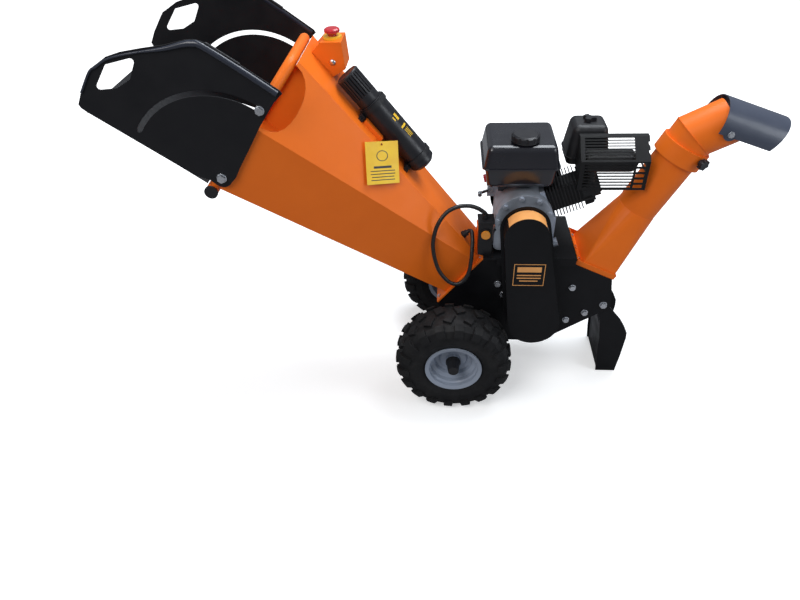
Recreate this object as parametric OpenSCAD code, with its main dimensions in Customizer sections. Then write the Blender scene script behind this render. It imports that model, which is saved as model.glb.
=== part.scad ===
/* [Wheels] */
// Outer diameter of the tyres over their lugs
tyre_d = 355; // [320:1:400]
// Width of a tyre over its side lugs
tyre_w = 140; // [120:1:160]
// Distance between the middle planes of the two tyres
wheel_track = 423; // [400:1:460]
// Outer diameter of the rim flange
rim_d = 172; // [150:1:190]
// Height of the tread lugs
lug_h = 8; // [5:0.5:10]
// Number of tread lugs round each shoulder
lug_count = 18; // [12:1:22]
// Diameter of the axle bar
axle_d = 20; // [16:0.5:25]
// Height of the tapered hub cap
hub_cap_h = 42; // [30:1:50]

/* [Rotor housing] */
// Width over the two side plates
housing_w = 184; // [170:1:200]
// Thickness of a side plate
side_t = 6; // [4:0.5:10]
// Distance of the rotor shaft behind the axle
rotor_back = 240; // [220:1:260]
// Height of the rotor shaft
rotor_z = 280; // [270:1:300]
// Diameter of the rotor discs
disc_d = 208; // [196:1:214]
// Diameter of the rotor shaft
rotor_shaft_d = 30; // [25:1:35]
// Inner radius of the casing round the rotor
casing_r = 126; // [124:1:130]
// Thickness of the casing sheet
casing_t = 4; // [3:0.5:6]
// Height that a rotor blade stands out of its discs
blade_out = 14; // [10:0.5:16]

/* [Engine deck] */
// Height of the top face of the engine deck
deck_z = 484; // [482:1:500]
// Thickness of the engine deck
deck_t = 6; // [4:0.5:8]
// Length of the engine deck
deck_l = 268; // [250:1:280]
// Width of the engine deck
deck_w = 232; // [210:1:250]

/* [Engine] */
// Distance of the crankshaft behind the axle
crank_back = 193; // [180:1:210]
// Height of the crankshaft above the engine deck
crank_h = 106; // [100:1:120]
// Diameter of the crankshaft end
crank_d = 20; // [18:0.5:25]
// Slope of the cylinder above level
cylinder_tilt = 22; // [18:1:24]
// Number of cooling fins on the cylinder
fin_count = 10; // [6:1:12]
// Length of the fuel tank across the machine
tank_l = 192; // [170:1:200]
// Width of the fuel tank
tank_w = 212; // [190:1:216]
// Height of the fuel tank
tank_h = 122; // [100:1:140]
// Number of slots in the front of the muffler guard
guard_slots = 8; // [4:1:10]

/* [Belt drive] */
// Depth of the belt guard in front of the rotor housing
belt_guard_depth = 80; // [78:1:90]
// Radius of the belt guard round the engine pulley
guard_top_r = 61; // [55:1:68]
// Radius of the belt guard round the rotor pulley
guard_bottom_r = 77; // [70:1:84]
// Outer diameter of the engine pulley
engine_pulley_d = 84; // [70:1:96]
// Outer diameter of the rotor pulley
rotor_pulley_d = 118; // [100:1:128]
// Thickness of a drive belt
belt_t = 8; // [6:0.5:10]
// Width of a drive belt
belt_w = 10; // [8:0.5:11]

/* [Hopper] */
// Slope of the hopper's axis below level
hopper_tilt = 38.4; // [36:0.2:40]
// Length of the hopper from its flange to its mouth edge
hopper_l = 726; // [700:1:760]
// Width of the hopper's mouth
mouth_w = 450; // [430:1:460]
// Height of the upright sides at the mouth
mouth_side_h = 202; // [190:1:220]
// Height of the mouth at the middle
mouth_h = 352; // [340:1:365]
// Width of the flat top at the mouth
mouth_top_w = 204; // [180:1:230]
// Width of the hopper at its throat
throat_w = 172; // [150:1:180]
// Height of the hopper at its throat
throat_h = 160; // [150:1:164]
// Thickness of the hopper sheet
sheet_t = 2; // [1.5:0.5:3]
// Diameter of the hoop tube round the mouth
hoop_d = 28; // [24:1:30]
// Diameter of the cross tube under the mouth
cross_tube_d = 32; // [25:1:34]

/* [Folding infeed] */
// Distance from the fold pivot to the front edge
flap_reach = 356; // [330:1:370]
// Height of the flaps above the fold pivot
flap_h = 284; // [270:1:295]
// Depth of the infeed floor below the fold pivot
floor_drop = 36; // [34:1:40]
// Thickness of the flap sheet
flap_t = 3; // [2:0.5:4]
// Radius of the guide slot round the fold pivot
slot_r = 216; // [205:1:222]
// Width of the guide slot
slot_w = 13; // [11:0.5:15]
// Angle that the infeed folds through
fold_angle = 86; // [70:1:88]
// Diameter of the fold pivot bolts
pivot_d = 12; // [10:0.5:14]

/* [Discharge chute] */
// Lean of the chute from upright
chute_tilt = 25.5; // [22:0.5:28]
// Length of the chute from its flange to its collar
chute_l = 392; // [360:1:430]
// Outer diameter of the chute pipe
pipe_d = 116; // [108:1:122]
// Diameter of the collar at the top of the chute
collar_d = 136; // [130:1:150]
// Turn of the elbow towards level
elbow_turn = 37; // [32:1:42]
// Length of the elbow's outlet arm
elbow_arm = 92; // [84:1:100]
// Angle that the deflector hangs below the elbow's axis
deflector_drop = 47; // [40:1:52]
// Length of the deflector hood
deflector_l = 180; // [160:1:200]

/* [Leg] */
// Distance of the leg's foot behind the axle
foot_back = 515; // [500:1:530]
// Thickness of the leg plate
leg_t = 5; // [4:0.5:8]

/* [Controls] */
// Width of the emergency stop box
stop_box_w = 54; // [48:1:56]
// Diameter of the emergency stop button
stop_button_d = 40; // [32:1:44]
// Travel of the emergency stop button
stop_travel = 4; // [3:0.5:6]
// Diameter of the document tube
canister_d = 74; // [60:1:76]
// Length of the document tube
canister_l = 320; // [300:1:340]
// Diameter of the control cable
cable_d = 12; // [10:0.5:15]

/* [Hidden] */
$fn = 64;

// Shades
orange = [0.93, 0.37, 0.09];
black = [0.08, 0.08, 0.09];
dark = [0.2, 0.2, 0.22];
silver = [0.75, 0.76, 0.78];
alloy = [0.6, 0.61, 0.63];
red = [0.75, 0.1, 0.1];
yellow = [0.95, 0.8, 0.15];

// Clearances
cut = 1;
fit = 0.05;
gap = 0.5;

// Hopper frame: origin on the floor line at the flange, X down the hopper, Z square to its floor
hop_back = 35;
hop_z = 323;
flange_t = 5;
flange_w = 190;
flange_low = -28;
flange_high = 193;
throat_floor = 15;
corner_slope = (mouth_h - mouth_side_h) / ((mouth_w - mouth_top_w) / 2);
throat_corner = 12;
corner_angle = atan(corner_slope);
facet_fall = atan((mouth_h - throat_floor - throat_h) / hopper_l);

// Fold pivot of the infeed in the hopper frame
pivot_x = -hopper_l - 10;
pivot_z = 36;
tip_drop = 36;

// Chute frame: origin at the middle of the flange, Z up the chute
chute_back = 414;
chute_z = 417;
chute_flange_l = 134;
chute_flange_w = 178;
chute_flange_t = 5;
pipe_shift = 24;
pipe_t = 2;
mitre_h = 50;
outlet_l = 112;
pivot_inset = 20;
hood_t = 2;
hood_r = pipe_d / 2 + 8;
hood_back = 30;

// Places in the hopper frame and in the chute frame, seen from the axle
function hop_rel(x, z) = [x * cos(hopper_tilt) + z * sin(hopper_tilt) - hop_back,
                          hop_z - x * sin(hopper_tilt) + z * cos(hopper_tilt)];
function chute_rel(x, z) = [chute_back + x * cos(chute_tilt) + z * sin(chute_tilt),
                            chute_z - x * sin(chute_tilt) + z * cos(chute_tilt)];

// Reach of the folded-out infeed and of the deflector, and the axle's place between them
outlet_lean = chute_tilt + elbow_turn;
hood_lean = outlet_lean + deflector_drop;
front_reach = -hop_rel(pivot_x - flap_reach, pivot_z - tip_drop)[0];
elbow_reach = chute_rel(pipe_shift, chute_l + mitre_h)[0];
back_reach = elbow_reach + (elbow_arm - pivot_inset) * sin(outlet_lean)
             + (deflector_l - hood_back) * sin(hood_lean) - (hood_r + hood_t) * cos(hood_lean);
axle_x = (front_reach - back_reach) / 2;

// Places in the machine's frame
wheel_z = tyre_d / 2;
rotor_x = axle_x + rotor_back;
crank_x = axle_x + crank_back;
crank_z = deck_z + crank_h;
side_y = housing_w / 2;
inner_y = side_y - side_t;
chute_x = axle_x + chute_back;
deck_x = axle_x + 82;
deck_low = deck_z - deck_t;
function hop_at(x, z) = hop_rel(x, z) + [axle_x, 0];
function chute_at(x, z) = chute_rel(x, z) + [axle_x, 0];

module in_hopper() {
    translate([axle_x - hop_back, 0, hop_z]) rotate([0, hopper_tilt, 0]) children();
}

// Frame of the hopper's sloping top: origin at the mouth, X down the slope, Z out of it
module on_facet() {
    in_hopper() translate([-hopper_l, 0, mouth_h]) rotate([0, facet_fall, 0]) children();
}
function facet_at(x, z) = hop_at(x * cos(facet_fall) + z * sin(facet_fall) - hopper_l,
                                 mouth_h - x * sin(facet_fall) + z * cos(facet_fall));

module in_chute() {
    translate([chute_x, 0, chute_z]) rotate([0, chute_tilt, 0]) children();
}

// Elbow frame: origin where its two arms meet, Z up the chute
module in_elbow() {
    in_chute() translate([pipe_shift, 0, chute_l + mitre_h]) children();
}

// Outlet frame: origin at the deflector's pivot, X along the outlet arm
module in_outlet() {
    in_elbow() rotate([0, elbow_turn - 90, 0]) translate([elbow_arm - pivot_inset, 0, 0]) children();
}

// Deflector frame: X along the hood
module in_hood() {
    in_outlet() rotate([0, deflector_drop, 0]) children();
}

// Engine frame: origin on the deck under the crankshaft
module in_engine() {
    translate([crank_x, 0, deck_z]) children();
}

// Cylinder frame: origin on the crankshaft, X up the cylinder
module in_cylinder() {
    in_engine() translate([0, 0, crank_h]) rotate([0, -cylinder_tilt, 0]) children();
}

// Cylinder that lies along Y between two places
module rod_y(r, y0, y1) {
    translate([0, y1, 0]) rotate([90, 0, 0]) cylinder(r = r, h = y1 - y0);
}

// Ring that lies along Y between two places
module ring_y(r_out, r_in, y0, y1) {
    difference() {
        rod_y(r_out, y0, y1);
        rod_y(r_in, y0 - cut, y1 + cut);
    }
}

// Outline in the XZ plane extruded between two places along Y
module slab_y(y0, y1) {
    translate([0, y1, 0]) rotate([90, 0, 0]) linear_extrude(y1 - y0) children();
}

// Outline in the YZ plane extruded between two places along X
module slab_x(x0, x1) {
    translate([x0, 0, 0]) rotate([90, 0, 90]) linear_extrude(x1 - x0) children();
}

// Rectangle with round corners
module round_rect(w, h, r) {
    translate([r - w / 2, -h / 2]) square([w - 2 * r, h]);
    translate([-w / 2, r - h / 2]) square([w, h - 2 * r]);
    for (sx = [-1, 1], sy = [-1, 1])
        translate([sx * (w / 2 - r), sy * (h / 2 - r)]) circle(r);
}

// Block with all its edges rounded, resting on Z = 0
module soft_block(w, l, h, r) {
    hull() for (sx = [-1, 1], sy = [-1, 1], z = [r, h - r])
        translate([sx * (w / 2 - r), sy * (l / 2 - r), z]) sphere(r, $fn = 20);
}

// Hexagon bolt head on its washer, standing up from Z = 0
module bolt_head(d) {
    washer_t = 1.6;
    cylinder(r = d * 1.05, h = washer_t);
    translate([0, 0, washer_t]) cylinder(r = d * 0.92, h = d * 0.65, $fn = 6);
}

// Bolt head on the near face and its mirror image on the far face
module side_bolts(x, z, y, d) {
    for (s = [-1, 1])
        translate([x, s * y, z]) rotate([s * -90, 0, 0]) bolt_head(d);
}

// Mirrored copy across the machine's middle plane
module both_sides() {
    children();
    mirror([0, 1, 0]) children();
}

// Point of a circle in the XZ plane
function rim_at(c, r, a) = [c[0] + r * cos(a), c[1] + r * sin(a)];

// Circles round the two shafts joined by their outer tangents
shaft_dx = crank_x - rotor_x;
shaft_dz = crank_z - rotor_z;
shaft_span = sqrt(shaft_dx * shaft_dx + shaft_dz * shaft_dz);
shaft_lean = atan2(shaft_dz, shaft_dx);
rotor_c = [rotor_x, rotor_z];
crank_c = [crank_x, crank_z];

module belt_line(r_rotor, r_crank) {
    open = acos((r_rotor - r_crank) / shaft_span);
    translate(rotor_c) circle(r_rotor);
    translate(crank_c) circle(r_crank);
    polygon([rim_at(rotor_c, r_rotor, shaft_lean - open), rim_at(crank_c, r_crank, shaft_lean - open),
             rim_at(crank_c, r_crank, shaft_lean + open), rim_at(rotor_c, r_rotor, shaft_lean + open)]);
}

// Rotor housing: side plates, casing and deck
plate_margin = 10;
belly_r = casing_r + casing_t + plate_margin;
belly_angle = -53;
axle_boss_r = 34;
leg_ear_r = 24;
leg_bolt_x = axle_x + 460;
leg_bolt_z = 294;
frame_bolt_d = 10;

module behind_flange() {
    far = 800;
    translate([axle_x - hop_back, hop_z]) rotate(-hopper_tilt)
        translate([flange_t, -far]) square([2 * far, 2 * far]);
}

module side_outline() {
    ear_c = [leg_bolt_x, leg_bolt_z];
    intersection() {
        union() {
            translate(rotor_c) circle(belly_r);
            translate([axle_x, wheel_z]) circle(axle_boss_r);
            translate(ear_c) circle(leg_ear_r);
            polygon([hop_at(flange_t, flange_low), [axle_x - axle_boss_r, wheel_z],
                     [axle_x, wheel_z - axle_boss_r], [rotor_x, rotor_z - belly_r],
                     rim_at(rotor_c, belly_r, belly_angle), rim_at(ear_c, leg_ear_r, belly_angle),
                     [leg_bolt_x + leg_ear_r, leg_bolt_z], chute_at(chute_flange_l / 2 - 5, 0),
                     chute_at(2 - chute_flange_l / 2, 0), [deck_x + deck_l - 4, deck_low],
                     [axle_x + 90, deck_low], hop_at(flange_t, flange_high - 4)]);
        }
        behind_flange();
    }
}

module side_plate() {
    difference() {
        slab_y(-side_y, -inner_y) side_outline();
        translate([axle_x, 0, wheel_z]) rod_y(axle_d / 2, -side_y - cut, -inner_y + cut);
        translate([rotor_x, 0, rotor_z]) rod_y(rotor_shaft_d / 2 + 4, -side_y - cut, -inner_y + cut);
        translate([leg_bolt_x, 0, leg_bolt_z]) rod_y(frame_bolt_d / 2, -side_y - cut, -inner_y + cut);
    }
}

module side_plates() {
    color(black) both_sides() side_plate();
}

// Way of the wood in and of the chips out, grown by a wall
module chip_path(wall) {
    r = casing_r + wall;
    duct_reach = 230;
    run = 134;
    low = rim_at(rotor_c, r, belly_angle);
    corner = rim_at(low, run + wall, belly_angle + 90);
    translate(rotor_c) circle(r);
    translate([axle_x - hop_back, hop_z]) rotate(-hopper_tilt)
        translate([flange_t - cut, throat_floor - wall]) square([duct_reach, throat_h + 2 * wall]);
    polygon([rotor_c, low, corner, chute_at(outlet_l / 2 + wall, 0), chute_at(outlet_l / 2 + wall, cut),
             chute_at(-outlet_l / 2 - wall, cut), chute_at(-outlet_l / 2 - wall, 0),
             rim_at(rotor_c, r, 42)]);
}

module rotor_casing() {
    far = 800;
    color(black) slab_y(-inner_y, inner_y) difference() {
        intersection() {
            chip_path(casing_t);
            behind_flange();
            translate([chute_x, chute_z]) rotate(-chute_tilt)
                translate([-far, -2 * far]) square([2 * far, 2 * far]);
            translate([-far, 0]) square([2 * far + chute_x, deck_low]);
        }
        chip_path(0);
    }
}

engine_mid_y = 15;
foot_dx = 62;
foot_dy = 46;

module engine_deck() {
    edge_h = 20;
    color(black) difference() {
        union() {
            translate([deck_x, -deck_w / 2, deck_low]) cube([deck_l, deck_w, deck_t]);
            for (s = [-1, 1])
                translate([deck_x + 40, s * (deck_w - deck_t) / 2 - deck_t / 2, deck_low - edge_h])
                    cube([deck_l - 40, deck_t, edge_h + cut]);
        }
        for (dx = [-foot_dx, foot_dx], dy = [-foot_dy, foot_dy])
            translate([crank_x + dx, engine_mid_y + dy, deck_low - cut])
                cylinder(r = 5, h = deck_t + 2 * cut);
    }
}

module axle() {
    axle_end = 22;
    collar_l = 14;
    color(dark) translate([axle_x, 0, wheel_z]) {
        rod_y(axle_d / 2, -wheel_track / 2 - axle_end, wheel_track / 2 + axle_end);
        for (s = [-1, 1])
            rod_y(axle_d / 2 + 8, s * (side_y + collar_l / 2) - collar_l / 2,
                  s * (side_y + collar_l / 2) + collar_l / 2);
    }
}

// Flanged bearing housings outside the side plates
bearing_t = 26;

module rotor_bearing() {
    pitch = 41;
    plate_t = 11;
    difference() {
        union() {
            rod_y(34, -side_y - bearing_t, -side_y);
            slab_y(-side_y - plate_t, -side_y) round_rect(104, 104, 18);
        }
        rod_y(rotor_shaft_d / 2 + fit, -side_y - bearing_t - cut, -side_y + cut);
        for (dx = [-1, 1], dz = [-1, 1])
            translate([dx * pitch, 0, dz * pitch]) rod_y(5.5, -side_y - plate_t - cut, -side_y + cut);
    }
}

module rotor_bearings() {
    color(dark) translate([rotor_x, 0, rotor_z]) both_sides() rotor_bearing();
}

// Fixed counter blade at the end of the throat floor
cut_r = disc_d / 2 + blade_out;
knife_gap = 2;

module anvil() {
    anvil_x = 120;
    anvil_l = 110;
    anvil_t = 12;
    color(silver) difference() {
        in_hopper() translate([anvil_x, -inner_y, throat_floor]) cube([anvil_l, 2 * inner_y, anvil_t]);
        translate([rotor_x, 0, rotor_z]) rod_y(cut_r + knife_gap, -side_y, side_y);
        in_hopper() for (s = [-1, 0, 1])
            translate([anvil_x + 24, s * 56, throat_floor - cut]) cylinder(r = 6, h = anvil_t + 2 * cut);
    }
}

// Rotor with two end discs, a hollow core and two blade seats
drum_y = inner_y - 5;
disc_t = 12;
guard_back_t = 3;
guard_wall = 2;
guard_back_y = -side_y - bearing_t - 2;
guard_face_y = guard_back_y - guard_back_t;
guard_front_y = -side_y - belt_guard_depth;
pulley_y = (guard_front_y + guard_wall + guard_face_y) / 2;
pulley_half = 15;
hub_half = 17;
seat_z = 4;
blade_t = 10;
blade_in = 34;

module rotor() {
    core_r = 56;
    core_t = 7;
    color(alloy) translate([rotor_x, 0, rotor_z]) difference() {
        union() {
            rod_y(rotor_shaft_d / 2, pulley_y - hub_half - 2, side_y + bearing_t + 6);
            ring_y(core_r, core_r - core_t, -drum_y, drum_y);
            for (s = [-1, 1])
                rod_y(disc_d / 2, s * (drum_y - disc_t / 2) - disc_t / 2, s * (drum_y - disc_t / 2) + disc_t / 2);
            for (a = [0, 180]) rotate([0, a, 0])
                translate([core_r - core_t, -drum_y, seat_z - 34])
                    cube([disc_d / 2 - core_r - 2, 2 * drum_y, 34]);
        }
        for (a = [0, 180]) rotate([0, a, 0])
            translate([disc_d / 2 - blade_in, -drum_y - cut, seat_z]) cube([80, 2 * drum_y + 2 * cut, blade_t + 6]);
    }
}

module rotor_blades() {
    color(silver) translate([rotor_x, 0, rotor_z]) for (a = [0, 180]) rotate([0, a, 0])
        difference() {
            translate([disc_d / 2 - blade_in, -drum_y, seat_z])
                cube([blade_in + blade_out - 1, 2 * drum_y, blade_t]);
            for (s = [-1, 0, 1]) translate([disc_d / 2 - 16, s * drum_y * 0.7, seat_z - cut])
                cylinder(r = 5, h = blade_t + 2 * cut);
        }
}

// Pulley with two belt grooves, centred on Y = 0
belt_pitch = 14;

module grooved_pulley(d, bore, hub_d) {
    groove = belt_t + 1;
    rotate([90, 0, 0]) difference() {
        union() {
            cylinder(r = d / 2, h = 2 * pulley_half, center = true);
            cylinder(r = hub_d / 2, h = 2 * hub_half, center = true);
        }
        for (s = [-1, 1]) translate([0, 0, s * belt_pitch / 2]) difference() {
            cylinder(r = d / 2 + cut, h = belt_w + 1, center = true);
            cylinder(r = d / 2 - groove, h = belt_w + 2, center = true);
        }
        cylinder(r = bore / 2, h = 2 * hub_half + 2 * cut, center = true);
    }
}

module rotor_pulley() {
    color(dark) translate([rotor_x, pulley_y, rotor_z])
        grooved_pulley(rotor_pulley_d, rotor_shaft_d, 52);
}

module clutch_pulley() {
    clutch_r = 32;
    clutch_end = guard_back_y + 18;
    color(dark) {
        translate([crank_x, pulley_y, crank_z]) grooved_pulley(engine_pulley_d, crank_d, 40);
        translate([crank_x, 0, crank_z]) ring_y(clutch_r, crank_d / 2, pulley_y + hub_half, clutch_end);
    }
}

module drive_belts() {
    color(black) for (s = [-1, 1])
        slab_y(pulley_y + s * belt_pitch / 2 - belt_w / 2, pulley_y + s * belt_pitch / 2 + belt_w / 2)
            difference() {
                belt_line(rotor_pulley_d / 2, engine_pulley_d / 2);
                belt_line(rotor_pulley_d / 2 - belt_t, engine_pulley_d / 2 - belt_t);
            }
}

// Back plate on its spacers and the pressed cover of the belt guard
module guard_backplate() {
    lip = 9;
    spacer_r = 7;
    spacer_dx = 64;
    spacer_dz = 66;
    color(black) {
        difference() {
            slab_y(guard_face_y, guard_back_y) belt_line(guard_bottom_r + lip, guard_top_r + lip);
            translate([rotor_x, 0, rotor_z]) rod_y(38, guard_face_y - cut, guard_back_y + cut);
            translate([crank_x, 0, crank_z]) rod_y(36, guard_face_y - cut, guard_back_y + cut);
        }
        for (s = [-1, 1])
            translate([rotor_x + s * spacer_dx, 0, rotor_z + spacer_dz]) rod_y(spacer_r, guard_back_y, -side_y);
        translate([rotor_x, 0, rotor_z - spacer_dz]) rod_y(spacer_r, guard_back_y, -side_y);
    }
}

module guard_cover() {
    color(black) difference() {
        slab_y(guard_front_y, guard_face_y) belt_line(guard_bottom_r, guard_top_r);
        slab_y(guard_front_y + guard_wall, guard_face_y + cut)
            belt_line(guard_bottom_r - guard_wall, guard_top_r - guard_wall);
    }
}

// Outline of the hopper across its axis, drawn inside its sheet
module hopper_ring(w, low, h, top_w, inset) {
    side_in = inset * tan((90 - corner_angle) / 2);
    top_in = inset * tan(corner_angle / 2);
    corner_h = (w - top_w) / 2 * corner_slope;
    polygon([[-w / 2 + inset, low + inset], [w / 2 - inset, low + inset],
             [w / 2 - inset, low + h - corner_h - side_in], [top_w / 2 - top_in, low + h - inset],
             [top_in - top_w / 2, low + h - inset], [inset - w / 2, low + h - corner_h - side_in]]);
}

module hopper_body(inset, over) {
    skin = 0.01;
    hull() {
        slab_x(-hopper_l - over, skin - hopper_l - over)
            hopper_ring(mouth_w, 0, mouth_h, mouth_top_w, inset);
        slab_x(over - skin, over)
            hopper_ring(throat_w, throat_floor, throat_h, throat_w - 2 * throat_corner, inset);
    }
}

// Cut-back in the front edge of a corner panel
module mouth_scallop() {
    depth = 60;
    translate([-hopper_l, -mouth_w / 2, mouth_side_h]) rotate([corner_angle, 0, 0])
        translate([0, 0, -depth / 2]) linear_extrude(depth) {
            polygon([[-30, 10], [12, 10], [29, 15], [43, 25], [53, 40], [59, 60], [61, 84], [60, 108],
                     [56, 130], [48, 150], [36, 167], [20, 178], [4, 182], [-30, 182]]);
        }
}

canister_y = -12;
canister_z = canister_d / 2 + 2;
canister_x = 110;

module hopper_shell() {
    rest_h = 13;
    color(orange) {
        in_hopper() difference() {
            hopper_body(0, 0);
            hopper_body(sheet_t, gap);
            both_sides() mouth_scallop();
        }
        on_facet() difference() {
            translate([224, canister_y - 44, -1]) cube([66, 34, rest_h]);
            translate([0, canister_y, canister_z]) rotate([0, 90, 0]) cylinder(r = canister_d / 2 + gap, h = 500);
        }
    }
}

module hopper_flange() {
    lip_h = 15;
    color(orange) in_hopper() difference() {
        union() {
            translate([0, -flange_w / 2, flange_low]) cube([flange_t, flange_w, flange_high - flange_low]);
            translate([-lip_h, -flange_w / 2, flange_high - flange_t])
                cube([lip_h + cut, flange_w, flange_t]);
        }
        slab_x(-cut, flange_t + cut)
            hopper_ring(throat_w, throat_floor, throat_h, throat_w - 2 * throat_corner, sheet_t);
    }
}

// Bent tube along a polyline in the YZ plane
hoop_x = -hopper_l - hoop_d / 2;
hoop_y = mouth_w / 2 - hoop_d / 2 - 3;
hoop_top_y = mouth_top_w / 2 - 5;
hoop_side_z = mouth_side_h - 4;
hoop_top_z = mouth_h - hoop_d / 2;
cross_r = cross_tube_d / 2;
cross_x = pivot_x - 4;
cross_z = -cross_r - 6;
cross_end = hoop_y + hoop_d / 2 + 2;
tube_t = 2.5;

// Middle line of the hoop
hoop_line = [[-hoop_y, cross_z], [-hoop_y, hoop_side_z], [-hoop_top_y, hoop_top_z],
             [hoop_top_y, hoop_top_z], [hoop_y, hoop_side_z], [hoop_y, cross_z]];

module hoop_tube(r) {
    bead = 0.5;
    for (i = [0:len(hoop_line) - 2]) {
        run = hoop_line[i + 1] - hoop_line[i];
        translate([hoop_x, hoop_line[i][0], hoop_line[i][1]]) {
            rotate([atan2(-run[0], run[1]), 0, 0]) cylinder(r = r, h = norm(run));
            if (i > 0) sphere(r + bead);
        }
    }
}

// Guide bolt of the fold slot on its lug
guide_angle = 92;
guide_x = pivot_x + slot_r * cos(guide_angle);
guide_z = pivot_z + slot_r * sin(guide_angle);
guide_d = slot_w - 2;
lug_t = 6;
flap_y = mouth_w / 2 + 5;

module mouth_hoop() {
    color(orange) in_hopper() difference() {
        union() {
            hoop_tube(hoop_d / 2);
            translate([cross_x, 0, cross_z]) rod_y(cross_r, -cross_end, cross_end);
            both_sides() translate([guide_x - 12, -flap_y + flap_t / 2 + 2, hoop_side_z - 60])
                cube([24, lug_t, guide_z - hoop_side_z + 74]);
        }
        translate([pivot_x, 0, pivot_z]) rod_y(pivot_d / 2, -mouth_w, mouth_w);
        translate([guide_x, 0, guide_z]) rod_y(guide_d / 2, -mouth_w, mouth_w);
        translate([cross_x, 0, cross_z]) rod_y(cross_r - tube_t, -cross_end - cut, cross_end + cut);
    }
}

module tube_caps() {
    cap_t = 6;
    color(black) in_hopper() translate([cross_x, 0, cross_z]) both_sides() {
        rod_y(cross_r + 1.5, -cross_end - cap_t, -cross_end);
        rod_y(cross_r - tube_t, -cross_end, -cross_end + 16);
    }
}

// Pivot bolts and guide bolts of the fold
module pivot_bolts() {
    head_y = flap_y + flap_t / 2 + gap;
    color(silver) in_hopper() both_sides() {
        translate([pivot_x, 0, pivot_z]) {
            rod_y(pivot_d / 2, -head_y, -hoop_y - hoop_d / 2 + tube_t);
            translate([0, -head_y, 0]) rotate([90, 0, 0]) bolt_head(pivot_d);
        }
        translate([guide_x, 0, guide_z]) {
            rod_y(guide_d / 2, -head_y, -flap_y + flap_t / 2 + 2 + lug_t);
            translate([0, -head_y, 0]) rotate([90, 0, 0]) bolt_head(guide_d);
        }
    }
}

// Folding infeed: two side flaps and the floor between them, seen from the fold pivot
slot_span = fold_angle + 4;

module flap_outline() {
    r = flap_reach;
    h = flap_h;
    difference() {
        union() {
            polygon([[25, -6], [16, -20], [-2, -26], [-20, -24], [-59, -36], [0.06 - r * 0.93, -floor_drop - 6],
                     [8 - r, -floor_drop - 5], [-r, -tip_drop], [-r - 5, 0], [-r - 6, 63], [-r + 2, 82],
                     [14 - r, 112], [36 - r, 142], [70 - r, 178], [110 - r, 218], [-214, h - 28],
                     [-198, h - 15], [-178, h - 7], [-90, h - 2], [6, h + 1], [15, h - 2], [13, h - 10],
                     [10, h - 34], [12, 180], [18, 120], [24, 50], [28, 24]]);
            circle(26);
        }
        circle(pivot_d / 2 + fit);
        for (a = [guide_angle, guide_angle + slot_span])
            rotate(a) translate([slot_r, 0]) circle(slot_w / 2);
        rotate(guide_angle) difference() {
            slot_sector(slot_r + slot_w / 2);
            circle(slot_r - slot_w / 2);
        }
        hand_hole();
    }
}

// Sector that the guide slot spans
module slot_sector(r) {
    intersection() {
        circle(r);
        polygon([[0, 0], [2 * r, 0], rim_at([0, 0], 2 * r, slot_span / 2),
                 rim_at([0, 0], 2 * r, slot_span)]);
    }
}

// Hand hole with round corners near the front of a flap
hand_r = 7;
hand_corners = [[-292, 138], [-330, 92], [-330, 36], [-302, 62], [-286, 98]];

function outward(a, b) = atan2(b[1] - a[1], b[0] - a[0]) - 90;

module hand_hole() {
    polygon([
        for (i = [0:4])
            let (c = hand_corners[i], start = outward(hand_corners[(i + 4) % 5], c))
            let (bend = (outward(c, hand_corners[(i + 1) % 5]) - start + 720) % 360)
            for (k = [0:3]) rim_at(c, hand_r, start + k * bend / 3)
    ]);
}

module infeed_flaps() {
    lip_r = 4;
    color(black) in_hopper() translate([pivot_x, 0, pivot_z]) both_sides() {
        slab_y(-flap_y - flap_t / 2, -flap_y + flap_t / 2) flap_outline();
        translate([-175, -flap_y, flap_h - 8]) rotate([0, 90 - atan2(5, 88), 0]) rotate([0, 0, 90])
            cylinder(r = lip_r, h = 82);
    }
}

module infeed_floor() {
    floor_w = 2 * flap_y - flap_t;
    color(black) in_hopper() translate([pivot_x, 0, pivot_z]) {
        translate([22 - flap_reach, -floor_w / 2, -floor_drop - flap_t]) cube([flap_reach - 44, floor_w, flap_t]);
        translate([22 - flap_reach, -floor_w / 2, -floor_drop - 3 * flap_t]) cube([flap_t, floor_w, 2 * flap_t + cut]);
    }
}

// Emergency stop on its box beside the hoop
stop_y0 = 8;
stop_y1 = 92;
stop_right = facet_at(112, 0)[0] + 20;
stop_left = stop_right - stop_box_w;
stop_top = facet_at(14, 0)[1] + 20;
stop_cx = (stop_left + stop_right) / 2;
stop_cy = 46;
collar_t = 6;

module stop_box() {
    color(orange) slab_y(stop_y0, stop_y1)
        polygon([facet_at(18, gap), facet_at(98, gap), facet_at(104, 38), [stop_right, stop_top],
                 [stop_left, stop_top]]);
}

module stop_collar() {
    color(yellow) translate([stop_cx, stop_cy, stop_top]) difference() {
        cylinder(r = 24, h = collar_t);
        translate([0, 0, -cut]) cylinder(r = 11 + fit, h = collar_t + 2 * cut);
    }
}

module stop_button() {
    stem_h = 5;
    head_h = 14;
    lift = collar_t + stop_travel + gap;
    color(red) translate([stop_cx, stop_cy, stop_top]) {
        translate([0, 0, stop_travel + gap]) cylinder(r = 11, h = collar_t + 1);
        translate([0, 0, lift]) cylinder(r1 = 13, r2 = stop_button_d / 2, h = stem_h);
        translate([0, 0, lift + stem_h]) cylinder(r = stop_button_d / 2, h = head_h - stem_h - 3);
        translate([0, 0, lift + head_h - 3]) cylinder(r1 = stop_button_d / 2, r2 = stop_button_d / 2 - 4, h = 3);
    }
}

// Document tube with its screw cap and its clips
cap_l = 92;
canister_t = 2;

module on_canister() {
    on_facet() translate([canister_x, canister_y, canister_z]) rotate([0, 90, 0]) children();
}

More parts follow.
